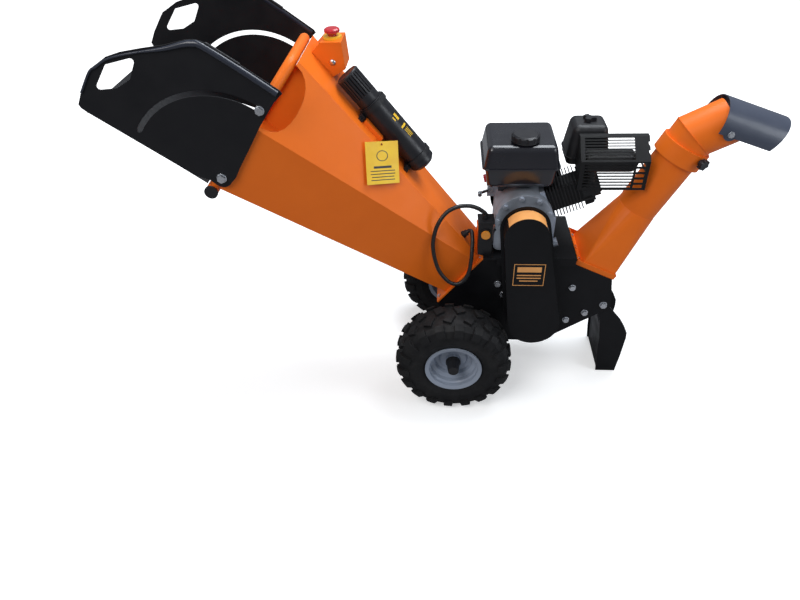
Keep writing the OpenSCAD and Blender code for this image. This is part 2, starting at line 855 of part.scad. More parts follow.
module canister() {
    neck_l = 26;
    end_r = 9;
    color(black) on_canister() {
        translate([0, 0, cap_l]) difference() {
            union() {
                cylinder(r = canister_d / 2, h = canister_l - cap_l - end_r);
                translate([0, 0, canister_l - cap_l - end_r]) cylinder(r1 = canister_d / 2, r2 = canister_d / 2 - end_r, h = end_r);
            }
            translate([0, 0, -cut]) cylinder(r = canister_d / 2 - canister_t - 5, h = canister_l - cap_l - 8);
        }
        translate([0, 0, cap_l - neck_l]) difference() {
            cylinder(r = canister_d / 2 - canister_t - 5, h = neck_l + 4);
            translate([0, 0, -cut]) cylinder(r = canister_d / 2 - canister_t - 8, h = neck_l + 8);
        }
    }
}

module canister_cap() {
    cap_r = canister_d / 2 - 5;
    neck_r = canister_d / 2 - canister_t - 5;
    rib_n = 24;
    color(dark) on_canister() difference() {
        union() {
            cylinder(r1 = cap_r - 3, r2 = cap_r, h = 3);
            translate([0, 0, 3]) cylinder(r = cap_r, h = cap_l - 3 - gap);
        }
        translate([0, 0, 8]) cylinder(r = neck_r + gap, h = cap_l);
        for (i = [0:rib_n - 1]) rotate([0, 0, i * 360 / rib_n])
            translate([cap_r, 0, 6]) cylinder(r = 1.6, h = cap_l - 30, $fn = 16);
    }
}

module canister_clip(x, w) {
    band_t = 3;
    rest = canister_d / 2 + gap;
    on_facet() translate([x, canister_y, 0]) difference() {
        union() {
            translate([0, 0, canister_z]) rotate([0, 90, 0]) cylinder(r = rest + band_t, h = w);
            translate([0, -rest - 12, 0]) cube([w, 2 * rest + 24, 5]);
            translate([0, -rest - 2, 0]) cube([w, 2 * rest + 4, 12]);
        }
        translate([-cut, 0, canister_z]) rotate([0, 90, 0]) cylinder(r = rest, h = w + 2 * cut);
        translate([-cut, -canister_d, -20]) cube([w + 2 * cut, 2 * canister_d, 20]);
        for (s = [-1, 1]) translate([w / 2, s * (rest + 7), -cut]) cylinder(r = 2.5, h = 8);
    }
}

module canister_clips() {
    color(dark) {
        canister_clip(canister_x + cap_l + 4, 14);
        canister_clip(canister_x + canister_l - 40, 14);
    }
}

// Card that hangs by a string over the near corner panel
tag_w = 96;
tag_h = 110;
tag_t = 0.8;

module hang_tag() {
    lean = atan2(sin(facet_fall) * 0.77, 1);
    color(yellow) {
        in_hopper() translate([-415, -109.5, 262]) rotate([corner_angle, 0, 0]) rotate([0, lean, 0])
            rotate([0, 0, 37]) difference() {
                translate([-tag_w / 2, -tag_h / 2, 2]) cube([tag_w, tag_h, tag_t]);
                translate([0, tag_h / 2 - 8, 0]) cylinder(r = 3, h = 8);
            }
        on_facet() translate([300, -54, 0]) cylinder(r = 1.5, h = 3, $fn = 16);
    }
}

// Discharge chute: flanged base, transition, pipe and clamping collar
blend_h = 200;
base_x0 = -44;
base_x1 = 64;
base_w = 168;
collar_low = chute_l - 20;
collar_high = chute_l + 26;
elbow_r = pipe_d / 2 + 3;
collar_fit = 0.4;

module chute_way(inset, over) {
    skin = 0.02;
    weld = 0.8;
    hull() {
        translate([base_x0 + inset, inset - base_w / 2, -over])
            cube([base_x1 - base_x0 - 2 * inset, base_w - 2 * inset, skin]);
        translate([pipe_shift, 0, blend_h]) cylinder(r = pipe_d / 2 - inset + weld, h = skin, $fn = 32);
    }
    translate([pipe_shift, 0, blend_h - weld])
        cylinder(r = pipe_d / 2 - inset, h = chute_l - blend_h + weld + over);
}

module chute() {
    lip_h = 16;
    lip_t = 3;
    color(orange) in_chute() difference() {
        union() {
            difference() {
                translate([-chute_flange_l / 2, -chute_flange_w / 2, 0])
                    cube([chute_flange_l, chute_flange_w, lip_h]);
                translate([lip_t - chute_flange_l / 2, lip_t - chute_flange_w / 2, chute_flange_t])
                    cube([chute_flange_l - 2 * lip_t, chute_flange_w - 2 * lip_t, lip_h]);
            }
            chute_way(0, 0);
            translate([pipe_shift, 0, collar_low]) cylinder(r = collar_d / 2, h = collar_high - collar_low);
        }
        chute_way(pipe_t, cut);
        translate([pipe_shift, 0, chute_l]) cylinder(r = elbow_r + collar_fit, h = 100);
        translate([pipe_shift, 0, (chute_l + collar_high) / 2]) rotate([0, 0, knob_turn])
            rotate([0, 90, 0]) cylinder(r = knob_r, h = collar_d);
    }
}

// Clamping screw with its knob on the collar
knob_turn = -63;
knob_r = 4;

module chute_knob() {
    color(black) in_chute() translate([pipe_shift, 0, (chute_l + collar_high) / 2])
        rotate([0, 0, knob_turn]) rotate([0, 90, 0]) {
            translate([0, 0, elbow_r + collar_fit + gap]) cylinder(r = knob_r - fit, h = 20);
            difference() {
                translate([0, 0, collar_d / 2 + 6]) cylinder(r = 15, h = 12);
                for (i = [0:5]) rotate([0, 0, i * 60]) translate([18, 0, 0]) cylinder(r = 6, h = collar_d);
            }
            translate([0, 0, collar_d / 2 + gap]) cylinder(r = 9, h = 8);
        }
}

module elbow_way(r, over) {
    far = 400;
    bead = 1;
    difference() {
        translate([0, 0, -mitre_h - over]) cylinder(r = r, h = 2 * mitre_h + over);
        rotate([0, elbow_turn / 2, 0]) translate([-far / 2, -far / 2, bead / 2]) cube(far);
    }
    difference() {
        rotate([0, elbow_turn, 0]) translate([0, 0, -mitre_h]) cylinder(r = r, h = mitre_h + elbow_arm + over);
        rotate([0, elbow_turn / 2, 0]) translate([-far / 2, -far / 2, -far - bead / 2]) cube(far);
    }
    intersection() {
        translate([0, 0, -mitre_h]) cylinder(r = r + 1.4 * bead, h = 2 * mitre_h);
        rotate([0, elbow_turn / 2, 0]) translate([-far / 2, -far / 2, -bead]) cube([far, far, 2 * bead]);
    }
}

module chute_elbow() {
    color(orange) {
        difference() {
            in_elbow() elbow_way(elbow_r, -fit);
            in_elbow() elbow_way(elbow_r - pipe_t, cut);
            in_outlet() rod_y(hood_bolt_r, -2 * elbow_r, 2 * elbow_r);
        }
    }
}

// Curved hood on two bolts at the outlet
hood_bolt_r = 4;
hood_ear_r = 18;

module deflector() {
    skirt = 8;
    far = 400;
    tip_x = deflector_l - hood_back;
    color(dark) in_hood() {
        difference() {
            translate([-hood_back, 0, 0]) rotate([0, 90, 0]) cylinder(r = hood_r + hood_t, h = deflector_l);
            translate([-hood_back - cut, 0, 0]) rotate([0, 90, 0]) cylinder(r = hood_r, h = deflector_l + 2 * cut);
            translate([-far / 2, -far / 2, -far - skirt]) cube(far);
            translate([tip_x, 0, hood_r + hood_t]) rotate([0, 22, 0])
                translate([0, -far / 2, -far]) cube(far);
            rod_y(hood_bolt_r + fit, -far, far);
        }
        both_sides() difference() {
            rod_y(hood_ear_r, -hood_r - hood_t, -hood_r + 1);
            translate([-far / 2, -far / 2, -skirt]) cube(far);
            rod_y(hood_bolt_r + fit, -far, far);
        }
    }
}

module deflector_bolts() {
    head_y = hood_r + hood_t + gap;
    color(silver) in_outlet() both_sides() {
        rod_y(hood_bolt_r, -head_y, pipe_t - elbow_r);
        rod_y(8, -hood_r + 1.5, -elbow_r);
        translate([0, -head_y, 0]) rotate([90, 0, 0]) bolt_head(2 * hood_bolt_r);
    }
}

// Leg: two side plates joined by a web behind their front edges
module leg_outline() {
    x = foot_back - 30;
    difference() {
        union() {
            polygon([[x, 0], [x + 62, 0], [x + 69, 77], [x + 73, 150], [x + 71, 172], [x + 60, 196],
                     [x + 41, 228], [x - 4, 282], [x - 24, 278], [x - 40, 292], [x - 38, 268], [x - 22, 222],
                     [x - 12, 150], [x - 6, 60]]);
            translate([leg_bolt_x - axle_x, leg_bolt_z]) circle(16);
        }
        translate([leg_bolt_x - axle_x, leg_bolt_z]) circle(frame_bolt_d / 2);
    }
}

module leg() {
    x = foot_back - 30;
    color(black) translate([axle_x, 0, 0]) {
        both_sides() slab_y(-inner_y, -inner_y + leg_t) leg_outline();
        slab_y(-inner_y + leg_t - cut, inner_y - leg_t + cut)
            polygon([[x + 4, 0], [x + 4 + leg_t, 0], [x + leg_t - 1, 60], [x + leg_t - 8, 150],
                     [x + leg_t - 14, 190], [x - 14, 190], [x - 8, 150], [x - 1, 60]]);
    }
}

module frame_bolts() {
    leg_shank = leg_t + side_t;
    d = frame_bolt_d;
    color(silver) {
        for (p = [[357, 361], [354, 232], [131, 373], [150, 332], [408, 262]])
            side_bolts(axle_x + p[0], p[1], side_y, d);
        side_bolts(leg_bolt_x, leg_bolt_z, side_y, d + 1);
        for (s = [-1, 1])
            translate([leg_bolt_x, s * (side_y - leg_shank / 2), leg_bolt_z])
                rod_y(d / 2, -leg_shank / 2, leg_shank / 2);
        for (s = [-1, 1], y = [-1, 0, 1])
            in_chute() translate([s * (chute_flange_l / 2 - 11), y * 62, chute_flange_t])
                if (s < 0) bolt_head(6);
        in_hopper() for (s = [-1, 1], z = [flange_low + 14, flange_high - 14])
            translate([0, s * 80, z]) rotate([0, -90, 0]) bolt_head(6);
    }
}

// Tyre with two rows of crown lugs and two rows of shoulder lugs, its axis along Y
rim_r = rim_d / 2;
bead_r = rim_r - 7;

module tyre_shell(r, w, grow) {
    rotate([90, 0, 0]) rotate_extrude($fn = 72) difference() {
        polygon([[bead_r, -w * 0.36], [bead_r + 14, -w * 0.44], [rim_r + 24, -w * 0.5], [r - 34, -w * 0.5],
                 [r - 14, -w * 0.44], [r - 4, -w * 0.33], [r, -w * 0.16], [r, w * 0.16], [r - 4, w * 0.33],
                 [r - 14, w * 0.44], [r - 34, w * 0.5], [rim_r + 24, w * 0.5], [bead_r + 14, w * 0.44],
                 [bead_r, w * 0.36]]);
        polygon([[bead_r - cut, -w * 0.34 + grow], [bead_r + 16, -w * 0.4 + grow], [r - 32, -w * 0.42 + grow],
                 [r - 15, -w * 0.28], [r - 12, 0], [r - 15, w * 0.28], [r - 32, w * 0.42 - grow],
                 [bead_r + 16, w * 0.4 - grow], [bead_r - cut, w * 0.34 - grow]]);
    }
}

module tyre() {
    step = 360 / lug_count;
    crown_l = 26;
    difference() {
        union() {
            tyre_shell(tyre_d / 2 - lug_h, tyre_w - 10, 0);
            intersection() {
                tyre_shell(tyre_d / 2, tyre_w, 4);
                for (i = [0:lug_count - 1], s = [-1, 1]) {
                    rotate([0, (i + s / 4) * step, 0]) translate([0, s * tyre_w * 0.14, tyre_d / 2 - 20])
                        rotate([0, 0, s * 24]) translate([-crown_l / 2, -tyre_w * 0.11, 0])
                            cube([crown_l, tyre_w * 0.22, 30]);
                    rotate([0, (i + 0.5 + s / 4) * step, 0])
                        translate([-crown_l / 2, s * tyre_w * 0.42 - tyre_w * 0.12, tyre_d / 2 - 42])
                            cube([crown_l, tyre_w * 0.24, 60]);
                }
            }
        }
        rod_y(bead_r, -tyre_w, tyre_w);
    }
}

module at_wheel(s) {
    translate([axle_x, s * wheel_track / 2, wheel_z]) children();
}

module tyre_left() {
    color(black) at_wheel(-1) tyre();
}

module tyre_right() {
    color(black) at_wheel(1) tyre();
}

// Rim with a stepped dish, drawn with its outer side towards -Y
hub_r = 23;
hub_end = 24;

module rim_body() {
    bore = axle_d / 2 + fit;
    rotate([90, 0, 0]) rotate_extrude() {
        polygon([[bead_r - 4, -54], [rim_r, -58], [rim_r, -54], [bead_r, -50], [bead_r, 50], [rim_r, 54],
                 [rim_r, 60], [bead_r - 5, 56], [bead_r - 5, 44], [bead_r - 9, 40], [bead_r - 9, 26],
                 [bead_r - 20, 20], [bead_r - 24, 8], [44, 6], [40, 12], [hub_r, 14], [hub_r, hub_end],
                 [bore, hub_end], [bore, -40], [hub_r, -40], [hub_r, 8], [36, 8], [42, 0],
                 [bead_r - 22, 2], [bead_r - 16, 15], [bead_r - 4, 22]]);
    }
}

module rim_left() {
    color(silver) at_wheel(-1) rim_body();
}

module rim_right() {
    color(silver) at_wheel(1) mirror([0, 1, 0]) rim_body();
}

module hub_cap() {
    base_h = 6;
    rotate([90, 0, 0]) translate([0, 0, hub_end]) difference() {
        union() {
            cylinder(r = hub_r, h = base_h);
            translate([0, 0, base_h]) cylinder(r1 = hub_r - 2, r2 = hub_r - 7, h = hub_cap_h - base_h);
        }
        translate([0, 0, -cut]) cylinder(r = axle_d / 2 + 3, h = hub_cap_h - 5);
    }
}

module hub_cap_left() {
    color(black) at_wheel(-1) hub_cap();
}

module hub_cap_right() {
    color(black) at_wheel(1) mirror([0, 1, 0]) hub_cap();
}

// Engine: crankcase with its side cover, feet and cylinder base
case_r = 78;
case_y0 = -62;
case_y1 = 62;
cover_y = -85;
cyl_w = 88;
cyl_y = 4;
barrel_x = 76;
fin_pitch = 9;
fin_t = 3;
head_x = barrel_x + fin_count * fin_pitch + 6;
head_l = 26;
engine_bolt = 7;

module crankcase() {
    color(alloy) difference() {
        union() {
            in_engine() {
                slab_y(case_y0, case_y1) {
                    translate([0, crank_h]) circle(case_r);
                    translate([-case_r, 8]) square([2 * case_r + 14, crank_h - 8]);
                }
                slab_y(cover_y, case_y0) {
                    translate([0, crank_h]) circle(case_r + 4);
                    translate([0, 44]) round_rect(2 * case_r + 10, 72, 18);
                }
                translate([-case_r - 5, engine_mid_y - 60, 0]) cube([2 * case_r + 20, 120, 12]);
                translate([0, 0, crank_h]) {
                    rod_y(30, cover_y - 7, cover_y);
                    rod_y(46, cover_y - 3, cover_y);
                }
                translate([case_r + 4, -70, 22]) rotate([0, 70, 0]) cylinder(r = 13, h = 22);
                translate([-case_r - 22, 36, crank_h + 12]) cube([36, 5, 32]);
                for (a = [20:40:340]) translate([(case_r - 6) * cos(a), cover_y, crank_h + (case_r - 6) * sin(a)])
                    rotate([90, 0, 0]) bolt_head(engine_bolt);
            }
            in_cylinder() translate([40, cyl_y - cyl_w / 2, -46]) cube([barrel_x - 40, cyl_w, 92]);
        }
        in_engine() translate([0, 0, crank_h]) rod_y(crank_d / 2 + fit, cover_y - 10, case_y1 + cut);
        in_engine() for (dx = [-foot_dx, foot_dx], dy = [-foot_dy, foot_dy])
            translate([dx, engine_mid_y + dy, -cut]) cylinder(r = 5, h = 8);
    }
}

// Crankshaft with its flywheel
fly_r = 74;

module crankshaft() {
    fan_n = 12;
    color(alloy) in_engine() translate([0, 0, crank_h]) {
        difference() {
            union() {
                rod_y(crank_d / 2, pulley_y - hub_half - 2, 118);
                rod_y(fly_r, case_y1 + 6, case_y1 + 26);
                rod_y(26, case_y1 + 26, case_y1 + 52);
            }
            for (i = [0:5]) rotate([0, i * 60, 0]) translate([52, 0, 0]) rod_y(8, case_y1, case_y1 + 30);
        }
        for (i = [0:fan_n - 1]) rotate([0, i * 360 / fan_n, 0])
            translate([36, case_y1 + 25, -1.5]) cube([fly_r - 40, 20, 3]);
    }
}

// Finned barrel and head
module cylinder_block() {
    color(dark) difference() {
        in_cylinder() finned_barrel();
        in_engine() slab_y(case_y0 - gap, case_y1 + gap) {
            translate([0, crank_h]) circle(case_r + gap);
            translate([-case_r, 0]) square([2 * case_r + 20, crank_h]);
        }
    }
}

module finned_barrel() {
    translate([barrel_x, cyl_y - 33, -33]) cube([head_x - barrel_x, 66, 66]);
    for (i = [0:fin_count - 1])
        translate([barrel_x + 5 + i * fin_pitch, cyl_y - cyl_w / 2, -48]) cube([fin_t, cyl_w, 96]);
    translate([head_x, cyl_y - cyl_w / 2 + 6, -42]) cube([head_l, cyl_w - 12, 84]);
    for (z = [-38, -24, 24, 38])
        translate([head_x, cyl_y - cyl_w / 2, z - 2]) cube([head_l - 3, cyl_w, 4]);
    translate([head_x + head_l / 2, cyl_y - cyl_w / 2 + 8, 8]) rotate([60, 0, 0]) cylinder(r = 7, h = 24);
}

module valve_cover() {
    color(dark) in_cylinder() translate([head_x + head_l, cyl_y, 0]) rotate([0, 90, 0]) {
        linear_extrude(5) round_rect(82, 74, 8);
        linear_extrude(22) round_rect(70, 62, 12);
        translate([0, 0, 22]) linear_extrude(4) round_rect(58, 50, 10);
    }
}

// Fuel tank of two pressed halves on a seam
tank_y = 26;
tank_x = -18;
tank_low = 197;
seam_up = 58;
cap_pitch = [8, -46];

module fuel_tank() {
    seam_t = 4;
    edge = 16;
    color(black) in_engine() translate([tank_x, tank_y, tank_low]) {
        hull() for (sx = [-1, 1], sy = [-1, 1]) {
            translate([sx * (tank_w / 2 - 8 - edge), sy * (tank_l / 2 - 6 - edge), seam_up]) cylinder(r = edge, h = 1, $fn = 32);
            translate([sx * (tank_w / 2 - 14 - edge), sy * (tank_l / 2 - 10 - edge), edge]) sphere(edge, $fn = 24);
        }
        translate([0, 0, seam_up]) linear_extrude(seam_t) round_rect(tank_w, tank_l, edge + 6);
        hull() for (sx = [-1, 1], sy = [-1, 1]) {
            translate([sx * (tank_w / 2 - 4 - edge), sy * (tank_l / 2 - 4 - edge), seam_up + seam_t]) cylinder(r = edge, h = 1, $fn = 32);
            translate([sx * (tank_w / 2 - 12 - edge), sy * (tank_l / 2 - 9 - edge), tank_h - edge]) sphere(edge, $fn = 24);
        }
        translate([cap_pitch[0], cap_pitch[1], tank_h - 2]) cylinder(r = 30, h = 5);
        difference() {
            for (s = [-1, 1]) translate([s * 36 - 18, -30, crank_h + case_r - tank_low - 26]) cube([24, 38, 48]);
            translate([-tank_x, 0, crank_h - tank_low]) rod_y(case_r + gap, -tank_l, tank_l);
        }
    }
}

module fuel_cap() {
    grip_n = 12;
    cap_h = 19;
    color(black) in_engine() translate([tank_x + cap_pitch[0], tank_y + cap_pitch[1], tank_low + tank_h + 3 + gap])
        difference() {
            union() {
                cylinder(r = 38, h = cap_h - 4);
                translate([0, 0, cap_h - 4]) cylinder(r1 = 38, r2 = 32, h = 4);
            }
            for (i = [0:grip_n - 1]) rotate([0, 0, i * 360 / grip_n]) translate([40, 0, 3]) cylinder(r = 4.5, h = cap_h);
        }
}

// Air cleaner: base and domed cover
air_x = 171;
air_y = 68;
air_low = 232;

module air_cleaner() {
    w = 120;
    l = 114;
    h = 106;
    edge = 18;
    color(black) in_engine() translate([air_x, air_y, air_low]) {
        linear_extrude(16) round_rect(w - 8, l - 6, 16);
        translate([0, 0, 16]) linear_extrude(4) round_rect(w, l, 18);
        hull() for (sx = [-1, 1], sy = [-1, 1]) {
            translate([sx * (w / 2 - 2 - edge), sy * (l / 2 - 2 - edge), 20]) cylinder(r = edge, h = 1, $fn = 32);
            translate([sx * (w / 2 - 12 - edge), sy * (l / 2 - 10 - edge), h - edge]) sphere(edge, $fn = 24);
        }
    }
}

module air_knob() {
    color(black) in_engine() translate([air_x, air_y, air_low + 106 + gap]) difference() {
        cylinder(r = 19, h = 10);
        for (a = [60, 180, 300]) rotate([0, 0, a]) translate([21, 0, -cut]) cylinder(r = 11, h = 10 + 2 * cut);
    }
}

// Carburettor between the head and the air cleaner
carb_x = 184;

module carburettor() {
    color(alloy) in_engine() translate([carb_x, 0, 0]) {
        translate([-20, cyl_y + cyl_w / 2, air_low - 42]) cube([40, 46, 30]);
        translate([0, cyl_y + cyl_w / 2 + 24, air_low - 72]) cylinder(r = 19, h = 34);
        translate([0, cyl_y + cyl_w / 2 + 22, air_low - 14]) cylinder(r = 16, h = 14);
        translate([20, cyl_y + cyl_w / 2 + 22, air_low - 26]) rotate([0, 90, 0]) cylinder(r = 5, h = 8);
    }
}

module choke_lever() {
    color(silver) in_engine() translate([carb_x + 28 + fit, cyl_y + cyl_w / 2 + 22, air_low - 26]) {
        rotate([0, 90, 0]) cylinder(r = 7, h = 3);
        translate([0, 0, -5]) cube([3, 34, 10]);
        translate([0, 34, 0]) rotate([0, 90, 0]) cylinder(r = 6, h = 9);
    }
}

// Muffler behind its slotted guard
guard_x0 = 136;
guard_x1 = 318;
guard_y0 = -64;
guard_y1 = 8;
guard_low = 194;
guard_mid = 278;
guard_high = 326;
guard_t = 1.6;

module muffler() {
    x = guard_x0 + 84;
    color(dark) difference() {
        in_engine() {
            translate([x, -22, 236]) soft_block(138, 56, 51, 14);
            translate([x, -22, 260]) linear_extrude(4) round_rect(146, 62, 12);
            translate([head_x + 6, -32, 205]) cylinder(r = 12, h = 40);
            translate([x + 60, -24, 268]) rotate([0, 90, 0]) cylinder(r = 9, h = 27);
        }
        in_cylinder() translate([barrel_x, cyl_y - cyl_w / 2 - gap, -cyl_w])
            cube([head_x + head_l + 27 - barrel_x, cyl_w + 2 * gap, cyl_w + 48 + gap]);
    }
}

function guard_lean() = atan2(guard_high - guard_mid, guard_y1 - 16 - guard_y0);

module guard_skin(inset) {
    polygon([[guard_y0 + inset, guard_low - inset], [guard_y0 + inset, guard_mid - inset * 0.3],
             [guard_y1 - 16 + inset * 0.3, guard_high - inset], [guard_y1 + inset, guard_high - inset],
             [guard_y1 + inset, 236 - inset], [-50, 236 - inset], [-50, guard_low - inset]]);
}

module muffler_guard() {
    slot_l = guard_x1 - guard_x0 - 52;
    slot_h = 5;
    end_n = 5;
    top_run = (guard_high - guard_mid) / sin(guard_lean());
    top_pitch = (top_run - 8) / guard_slots;
    front_pitch = (guard_mid - guard_low - 12) / guard_slots;
    color(black) in_engine() difference() {
        slab_x(guard_x0, guard_x1) guard_skin(0);
        slab_x(guard_x0 + guard_t, guard_x1 - guard_t) guard_skin(guard_t);
        for (i = [0:guard_slots - 1]) {
            translate([guard_x0 + 12, guard_y0 - cut, guard_low + 8 + i * front_pitch])
                cube([slot_l, 2 * guard_t + cut, slot_h]);
            translate([guard_x0 + 12, guard_y0, guard_mid]) rotate([guard_lean(), 0, 0])
                translate([0, 6 + i * top_pitch, -4]) cube([slot_l, top_pitch - 3, 8]);
        }
        for (i = [0:end_n - 1]) {
            translate([guard_x1 - 34, guard_y0 - cut, guard_low + 6 + i * 16]) cube([24, 2 * guard_t + cut, 10]);
            translate([guard_x1 - 4, guard_y0 + 10, guard_low + 48 + i * 16]) cube([8, 50, 9]);
        }
    }
}

// Fan housing round the flywheel, with the shroud towards the cylinder
fan_y0 = 62;
fan_y1 = 140;
fan_r = 88;

module shroud_outline(r, reach) {
    translate([0, crank_h]) circle(r);
    translate([0, crank_h]) rotate(cylinder_tilt) translate([0, -r * 0.52]) square([reach, r * 0.96]);
}

module fan_housing() {
    wall = 2;
    color(black) in_engine() {
        difference() {
            slab_y(fan_y0, fan_y1) shroud_outline(fan_r, 132);
            slab_y(fan_y0 - cut, fan_y1 - wall) shroud_outline(fan_r - wall, 132 - wall);
            translate([0, 0, crank_h]) rod_y(58, fan_y1 - wall - cut, fan_y1 + cut);
        }
        difference() {
            translate([-fan_r - 14, 38, crank_h + 46]) cube([44, 28, 30]);
            translate([0, 0, crank_h]) rod_y(case_r + gap, 0, fan_y0 + gap);
        }
    }
}

// Recoil starter with vents and a pull grip
module recoil_starter() {
    r = 80;
    depth = 46;
    vents = 10;
    color(black) in_engine() translate([0, 0, crank_h]) {
        difference() {
            rod_y(r, fan_y1, fan_y1 + depth);
            rod_y(r - 3, fan_y1 - cut, fan_y1 + depth - 3);
            for (i = [0:vents - 1]) rotate([0, i * 360 / vents, 0]) {
                translate([34, fan_y1 + depth - 6, -5]) cube([30, 10, 10]);
                translate([r - 6, fan_y1 + 12, -8]) cube([10, 22, 16]);
            }
        }
        rod_y(20, fan_y1 + depth - 22, fan_y1 + depth - 2);
        rotate([0, -130, 0]) translate([r - 4, fan_y1 + 22, 0]) {
            rotate([0, 90, 0]) cylinder(r = 7, h = 22);
            translate([26, 0, 0]) rod_y(8, -26, 26);
        }
    }
}

// Hand levers and switch on the fan side
lever_y = 32;

module throttle_lever() {
    lever_t = 4;
    color(silver) in_engine() translate([-case_r - 12, 0, crank_h + 36]) {
        rod_y(9, lever_y, lever_y + lever_t - fit);
        rotate([0, 158, 0]) {
            translate([0, lever_y, -4]) cube([34, lever_t - fit, 8]);
            translate([34, 0, 0]) rod_y(6, lever_y - 10, lever_y + lever_t - fit);
        }
    }
}

module engine_switch() {
    color(red) in_engine() translate([-fan_r - 14, 52, crank_h + 64]) {
        rotate([0, -14, 0]) translate([-9, -8, -9]) cube([9, 16, 18]);
        rod_y(4, -8, 8);
    }
}

// Switch box on the deck beside the engine
box_x = axle_x + 66;
box_w = 40;
box_y = -98;
box_l = 42;
box_h = 112;
button_r = 13;
button_travel = 3;

module switch_box() {
    lip_h = 6;
    color(dark) difference() {
        union() {
            translate([box_x, box_y, deck_z]) cube([box_w, box_l, box_h - lip_h]);
            translate([box_x - 3, box_y - 3, deck_z + box_h - lip_h]) cube([box_w + 6, box_l + 6, lip_h]);
            translate([box_x + box_w / 2, box_y, deck_z + 72]) rotate([90, 0, 0]) cylinder(r = button_r + 4, h = 4);
        }
        translate([box_x + box_w / 2, box_y + 20, deck_z + 72]) rotate([90, 0, 0]) cylinder(r = button_r + fit, h = 30);
    }
}

module switch_button() {
    color([0.9, 0.5, 0.1]) translate([box_x + box_w / 2, box_y, deck_z + 72])
        rod_y(button_r, -9, 20 - button_travel - gap);
}

// Cable gland on the hopper and the free cable loop into the switch box
gland_x = -80;
gland_y = -55;
gland_h = 14;
gland_facet_x = (gland_x + hopper_l) / cos(facet_fall);
cable_exit = facet_at(gland_facet_x, gland_h);

module cable_gland() {
    color(black) {
        on_facet() translate([gland_facet_x, gland_y, 0]) {
            cylinder(r = cable_d / 2 + 6, h = 5, $fn = 6);
            cylinder(r = cable_d / 2 + 3, h = gland_h);
        }
        translate([box_x + 18, cable_in_y, deck_z + box_h]) cylinder(r = cable_d / 2 + 3, h = 8);
    }
}

cable_in_y = box_y + 20;

// Middle line of the cable as seen from the axle, from the hopper round to the box
cable_start = facet_at(gland_facet_x, gland_h + 9);
cable_points = [[cable_exit[0] - axle_x, gland_y, cable_exit[1]], [cable_start[0] - axle_x, gland_y, cable_start[1]],
                [47, -63, 542], [49, -76, 538], [50, -90, 526], [49, -104, 504], [47, -116, 472],
                [42, -122, 440], [31, -125, 414], [12, -127, 398], [-8, -128, 400], [-28, -128, 418],
                [-46, -128, 447], [-57, -127, 482], [-63, -126, 518], [-63, -126, 552], [-55, -123, 590],
                [-42, -118, 617], [-24, -111, 637], [-2, -105, 647], [20, -99, 649], [42, -94, 645],
                [62, -88, 634], [77, -82, 620], [84, cable_in_y, 611], [84, cable_in_y, deck_z + box_h + 8]];
cable_sides = 10;

function unit(v) = v / norm(v);
function heading(p, i) = unit(p[min(i + 1, len(p) - 1)] - p[max(i - 1, 0)]);
function carry(p, i, n) = i == len(p) ? [] : let (t = heading(p, i), m = unit(n - (n * t) * t))
    concat([m], carry(p, i + 1, m));
function tube_ring(c, t, n, r) = let (b = cross(t, n))
    [for (k = [0:cable_sides - 1]) c + r * (cos(k * 360 / cable_sides) * n + sin(k * 360 / cable_sides) * b)];

module swept_tube(p, r) {
    n = carry(p, 0, [0, 1, 0]);
    rings = len(p);
    points = [for (i = [0:rings - 1]) each tube_ring(p[i], heading(p, i), n[i], r)];
    sides = [for (i = [0:rings - 2], k = [0:cable_sides - 1])
        [i * cable_sides + k, (i + 1) * cable_sides + k, (i + 1) * cable_sides + (k + 1) % cable_sides,
         i * cable_sides + (k + 1) % cable_sides]];
    start = [[for (k = [0:cable_sides - 1]) k]];
    end = [[for (k = [0:cable_sides - 1]) rings * cable_sides - 1 - k]];
    polyhedron(points = points, faces = concat(start, sides, end));
}

module cable_loop() {
    color(black) translate([axle_x, 0, 0]) swept_tube(cable_points, cable_d / 2);
}

side_plates();
rotor_casing();
engine_deck();
axle();
rotor_bearings();
anvil();
rotor();
rotor_blades();
rotor_pulley();
guard_backplate();
guard_cover();
drive_belts();
hopper_shell();
hopper_flange();
mouth_hoop();
tube_caps();
pivot_bolts();
infeed_flaps();
infeed_floor();
stop_box();
stop_collar();
stop_button();
canister();
canister_cap();
canister_clips();
hang_tag();
chute();
chute_knob();
chute_elbow();
deflector();
deflector_bolts();
leg();
frame_bolts();
tyre_left();
tyre_right();
rim_left();
rim_right();
hub_cap_left();
hub_cap_right();
crankcase();
crankshaft();
clutch_pulley();
cylinder_block();
valve_cover();
fuel_tank();
fuel_cap();
air_cleaner();
air_knob();
carburettor();
choke_lever();
muffler();
muffler_guard();
fan_housing();
recoil_starter();
throttle_lever();
engine_switch();
switch_box();
switch_button();
cable_gland();
cable_loop();
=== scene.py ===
import math
import bmesh
import bpy
from mathutils import Matrix, Vector


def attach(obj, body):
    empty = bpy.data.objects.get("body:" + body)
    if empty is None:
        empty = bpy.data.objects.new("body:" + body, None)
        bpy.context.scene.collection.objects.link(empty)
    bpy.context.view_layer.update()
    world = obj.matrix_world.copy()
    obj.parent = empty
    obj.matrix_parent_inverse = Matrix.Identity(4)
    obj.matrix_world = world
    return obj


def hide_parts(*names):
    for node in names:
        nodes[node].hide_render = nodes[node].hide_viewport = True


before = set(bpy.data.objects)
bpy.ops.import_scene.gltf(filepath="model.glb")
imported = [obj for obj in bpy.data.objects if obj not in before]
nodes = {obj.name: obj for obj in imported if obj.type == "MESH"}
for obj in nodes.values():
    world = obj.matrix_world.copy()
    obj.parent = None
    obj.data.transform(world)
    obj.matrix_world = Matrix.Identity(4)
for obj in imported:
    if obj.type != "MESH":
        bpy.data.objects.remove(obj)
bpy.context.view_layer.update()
scene = bpy.context.scene

